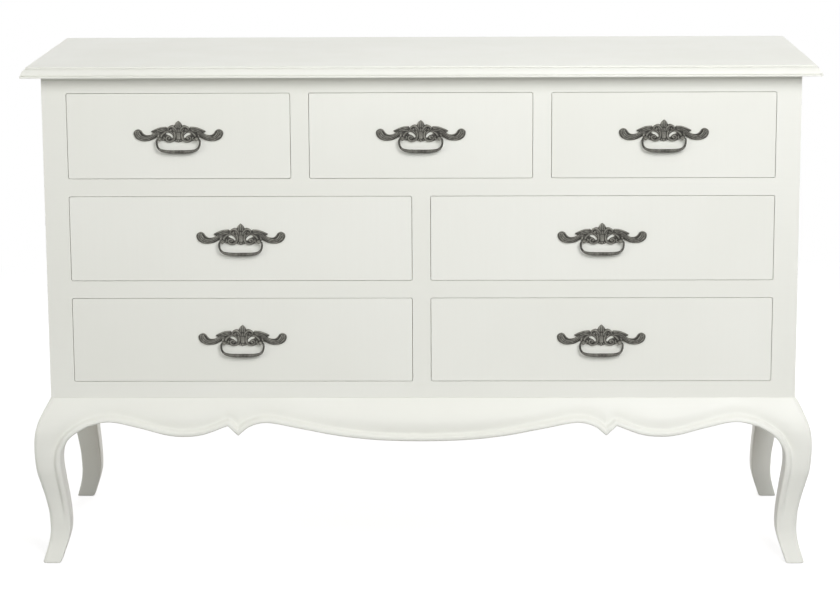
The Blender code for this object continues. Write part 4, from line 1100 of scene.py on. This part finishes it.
for row, (places, floor, (half, centres)) in enumerate(zip(PLACES, ROW_FLOORS, OPENINGS)):
    board = front_mesh(row)
    corners = [(way * (half - FRONT_GAP), z) for way in (-1, 1) for z in (FRONT_GAP, OPENING - FRONT_GAP)]
    for place, x in zip(places, centres):
        body = place + "_drawer"
        front = place_piece(
            place + "_front", board, body, [place + "_drawer_front"], (x, FRONT_Y, floor)
        )
        round_corners(front, FRONT_CORNER, corners, FRONT_LIP)
        ease_edges(front, FRONT_EASE)
        for part, mesh, rides, nodes, y, sharp in (
            ("_plate", plate, body, [place + "_handle_plate"], 0.0, 60),
            ("_bail", bail, place + "_bail", [place + "_handle_bail"], -STANDOFF / 1000, 60),
            ("_screws", screws, body, [], FRONT_BACK, 50),
        ):
            spot = (x, FRONT_Y + y, floor + PIVOT_RISE)
            place_piece(place + part, mesh, rides, nodes, spot, sharp)


# Pieces that keep the solid model's shape, eased and finished


def finish_node(name, material, width):
    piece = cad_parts[name]
    piece.data.materials.clear()
    piece.data.materials.append(material)
    ease_edges(piece, width)


for places in PLACES:
    for place in places:
        finish_node(place + "_drawer_box", BOX_TIMBER, BOX_EASE)
        finish_node(place + "_drawer_bottom", PLY, BOTTOM_EASE)
for name in ("upper_web_frame", "middle_web_frame", "lower_web_frame"):
    finish_node(name, WEB_TIMBER, WEB_EASE)
finish_node("back_panel", BACK_PLY, BACK_EASE)


# Rear apron, screws of the back panel, and corner blocks

# Screws along the back panel's top and bottom, and up its sides, in mm
SCREW_XS, SCREW_INSET = range(-595, 596, 170), 6
SCREW_SIDE, SCREW_ZS = 607, range(372, 733, 90)


def rear_board_mesh():
    """The rear apron, from leg to leg, halved over the corner blocks."""
    wide, narrow = HALF_CASE - POST - SEAT, HALF_CASE - BLOCK - 2 * SEAT
    xs = [-wide, -narrow, narrow, wide]
    ys = [BACK_Y - REAR_BOARD, BACK_Y - APRON_BACK, BACK_Y]
    zs = [CASE_BOTTOM - REAR_DROP, CASE_BOTTOM - SEAT]
    return cell_mesh(
        "rear_apron_board", xs, ys, zs,
        lambda x, y, z: abs(x) < narrow or y > BACK_Y - APRON_BACK, lambda *spot: 0, [PAINT],
    )


def corner_blocks_mesh():
    """Glued blocks behind the legs' posts."""
    inner, high = APRON_BACK + 2 * SEAT, CASE_BOTTOM - SEAT
    outline = [(inner, POST), (POST, POST), (POST, inner), (BLOCK, inner), (BLOCK, BLOCK), (inner, BLOCK)]
    size = len(outline)
    block = [range(size), range(2 * size - 1, size - 1, -1), *ring_faces(2, size)]
    points, faces = [], []
    for hand in (-1, 1):
        for end in (-1, 1):
            faces += [[len(points) + k for k in face] for face in block]
            for z in (high - BLOCK_HEIGHT, high):
                points += [(hand * (HALF_CASE - p), end * (HALF_DEPTH - q), z) for p, q in outline]
    return mesh_from("corner_blocks", points, faces, [TIMBER])


rear_board = place_piece("rear_apron_board", rear_board_mesh(), "case", ["rear_apron"])
ease_edges(rear_board, BLOCK_EASE)
ends = (CASE_BOTTOM * 1000 + SCREW_INSET, CASE_TOP * 1000 - SCREW_INSET)
spots = [(x, z) for x in SCREW_XS for z in ends]
spots += [(x, z) for x in (-SCREW_SIDE, SCREW_SIDE) for z in SCREW_ZS]
back_screws = metal_screws("back_panel_screws", spots, BACK_SCREW)
place_piece("back_panel_screws", back_screws, "case", [], (0, BACK_Y, 0), sharp=50)
blocks = place_piece("corner_blocks", corner_blocks_mesh(), "case", [])
ease_edges(blocks, BLOCK_EASE)


# Studio

FLOOR_REACH = 40.0
WHITE = (1.0, 1.0, 1.0)
FLOOR_GREY = (0.38, 0.38, 0.38)
# What the floor adds near the object, its light on other things from afar, and where near turns into far
FLOOR_GLOW = 0.77
FLOOR_FAR = 0.3
FLOOR_FADE = (1.1, 2.6)
WORLD_FILL = 0.31
KEY_PLACE = (0.98, -2.60, 2.10)
LAMP_AIM = Vector((0, 0, 0.45))
# Name, place, watts, size, colour and reach. The key's highlights come from a weaker lamp of its own, so
# that the pale top never burns out
LAMPS = (
    ("key", KEY_PLACE, 63.0, (1.3, 1.6), (0.99, 0.99, 1.02), "matt"),
    ("key_shine", KEY_PLACE, 21.0, (1.3, 1.6), WHITE, "gloss"),
    ("front_fill", (-2.6, -3.4, 1.9), 33.0, (2.0, 2.0), (1.0, 0.995, 0.96), "matt and gloss"),
    ("rear_fill", (0.6, 2.8, 3.4), 39.0, (2.4, 1.6), WHITE, "matt"),
    ("back_fill", (-0.3, 3.6, 1.1), 34.0, (2.0, 1.2), WHITE, "matt"),
    ("right_fill", (3.4, 0.9, 1.5), 27.0, (1.6, 1.6), WHITE, "matt"),
    ("left_fill", (-3.4, 0.9, 1.5), 27.0, (1.6, 1.6), WHITE, "matt"),
)


def seen_directly(tree):
    """1 for what the camera sees, straight or in gloss or glass, and 0 for light on other things."""
    rays = node(tree, "LightPath").outputs
    reflected = maths(tree, "MAXIMUM", rays["Is Glossy Ray"], rays["Is Transmission Ray"])
    return maths(tree, "MAXIMUM", rays["Is Camera Ray"], reflected)


def floor_material():
    """A white floor that keeps the object's shadow and fades to plain white away from it."""
    material, tree, shader = new_material("studio_floor")
    tree.nodes.remove(shader)
    seen = seen_directly(tree)
    glow, far = (
        node(tree, "Emission", {"Color": WHITE, "Strength": strength}).outputs[0]
        for strength in (maths(tree, "MULTIPLY", seen, FLOOR_GLOW), maths(tree, "MAXIMUM", seen, FLOOR_FAR))
    )
    diffuse = node(tree, "BsdfDiffuse", {"Color": FLOOR_GREY}).outputs[0]
    near = node(tree, "AddShader", (diffuse, glow)).outputs[0]
    place = node(tree, "TexCoord").outputs["Object"]
    away = node(tree, "VectorMath", (place,), operation="LENGTH").outputs["Value"]
    mix = node(tree, "MixShader", (ranged(tree, away, *FLOOR_FADE), near, far)).outputs[0]
    feed(tree.nodes["Material Output"].inputs["Surface"], mix)
    return material


def studio():
    mesh = bpy.data.meshes.new("studio_floor")
    corners = [(x * FLOOR_REACH, y * FLOOR_REACH, 0) for x, y in ((-1, -1), (1, -1), (1, 1), (-1, 1))]
    mesh.from_pydata(corners, [], [(0, 1, 2, 3)])
    mesh.materials.append(floor_material())
    floor = linked("studio_floor", mesh)
    world = bpy.data.worlds.new("studio")
    bpy.context.scene.world = world
    world.use_nodes = True
    tree = world.node_tree
    strength = maths(tree, "MAXIMUM", seen_directly(tree), WORLD_FILL)
    fill(tree.nodes["Background"], {"Color": WHITE, "Strength": strength})
    for name, place, power, size, colour, reach in LAMPS:
        lamp = bpy.data.lights.new(name, "AREA")
        lamp.energy = power
        lamp.color = colour
        lamp.shape = "RECTANGLE"
        lamp.size, lamp.size_y = size
        holder = linked(name, lamp)
        holder.location = place
        holder.rotation_mode = "QUATERNION"
        holder.rotation_quaternion = (LAMP_AIM - Vector(place)).to_track_quat("-Z", "Y")
        holder.visible_diffuse = "matt" in reach
        holder.visible_glossy = "gloss" in reach


studio()


# Camera: a little above the top and turned down, with a small shift

CAMERA_PLACE = (0.0666, -4.3234, 1.3248)
CAMERA_PITCH = math.radians(10.795)
CAMERA_YAW = math.radians(-0.955)
CAMERA_ROLL = math.radians(-0.278)
CAMERA_LENS = 109.28
CAMERA_SHIFT = -0.06


def camera():
    data = bpy.data.cameras.new("camera")
    data.lens = CAMERA_LENS
    data.shift_y = CAMERA_SHIFT
    data.clip_start, data.clip_end = 0.1, 100.0
    holder = linked("camera", data)
    yaw = Matrix.Rotation(-CAMERA_YAW, 4, "Z")
    pitch = Matrix.Rotation(math.pi / 2 - CAMERA_PITCH, 4, "X")
    roll = Matrix.Rotation(CAMERA_ROLL, 4, "Z")
    holder.matrix_world = Matrix.Translation(CAMERA_PLACE) @ yaw @ pitch @ roll
    bpy.context.scene.camera = holder


camera()
bpy.context.scene.view_settings.view_transform = "Standard"
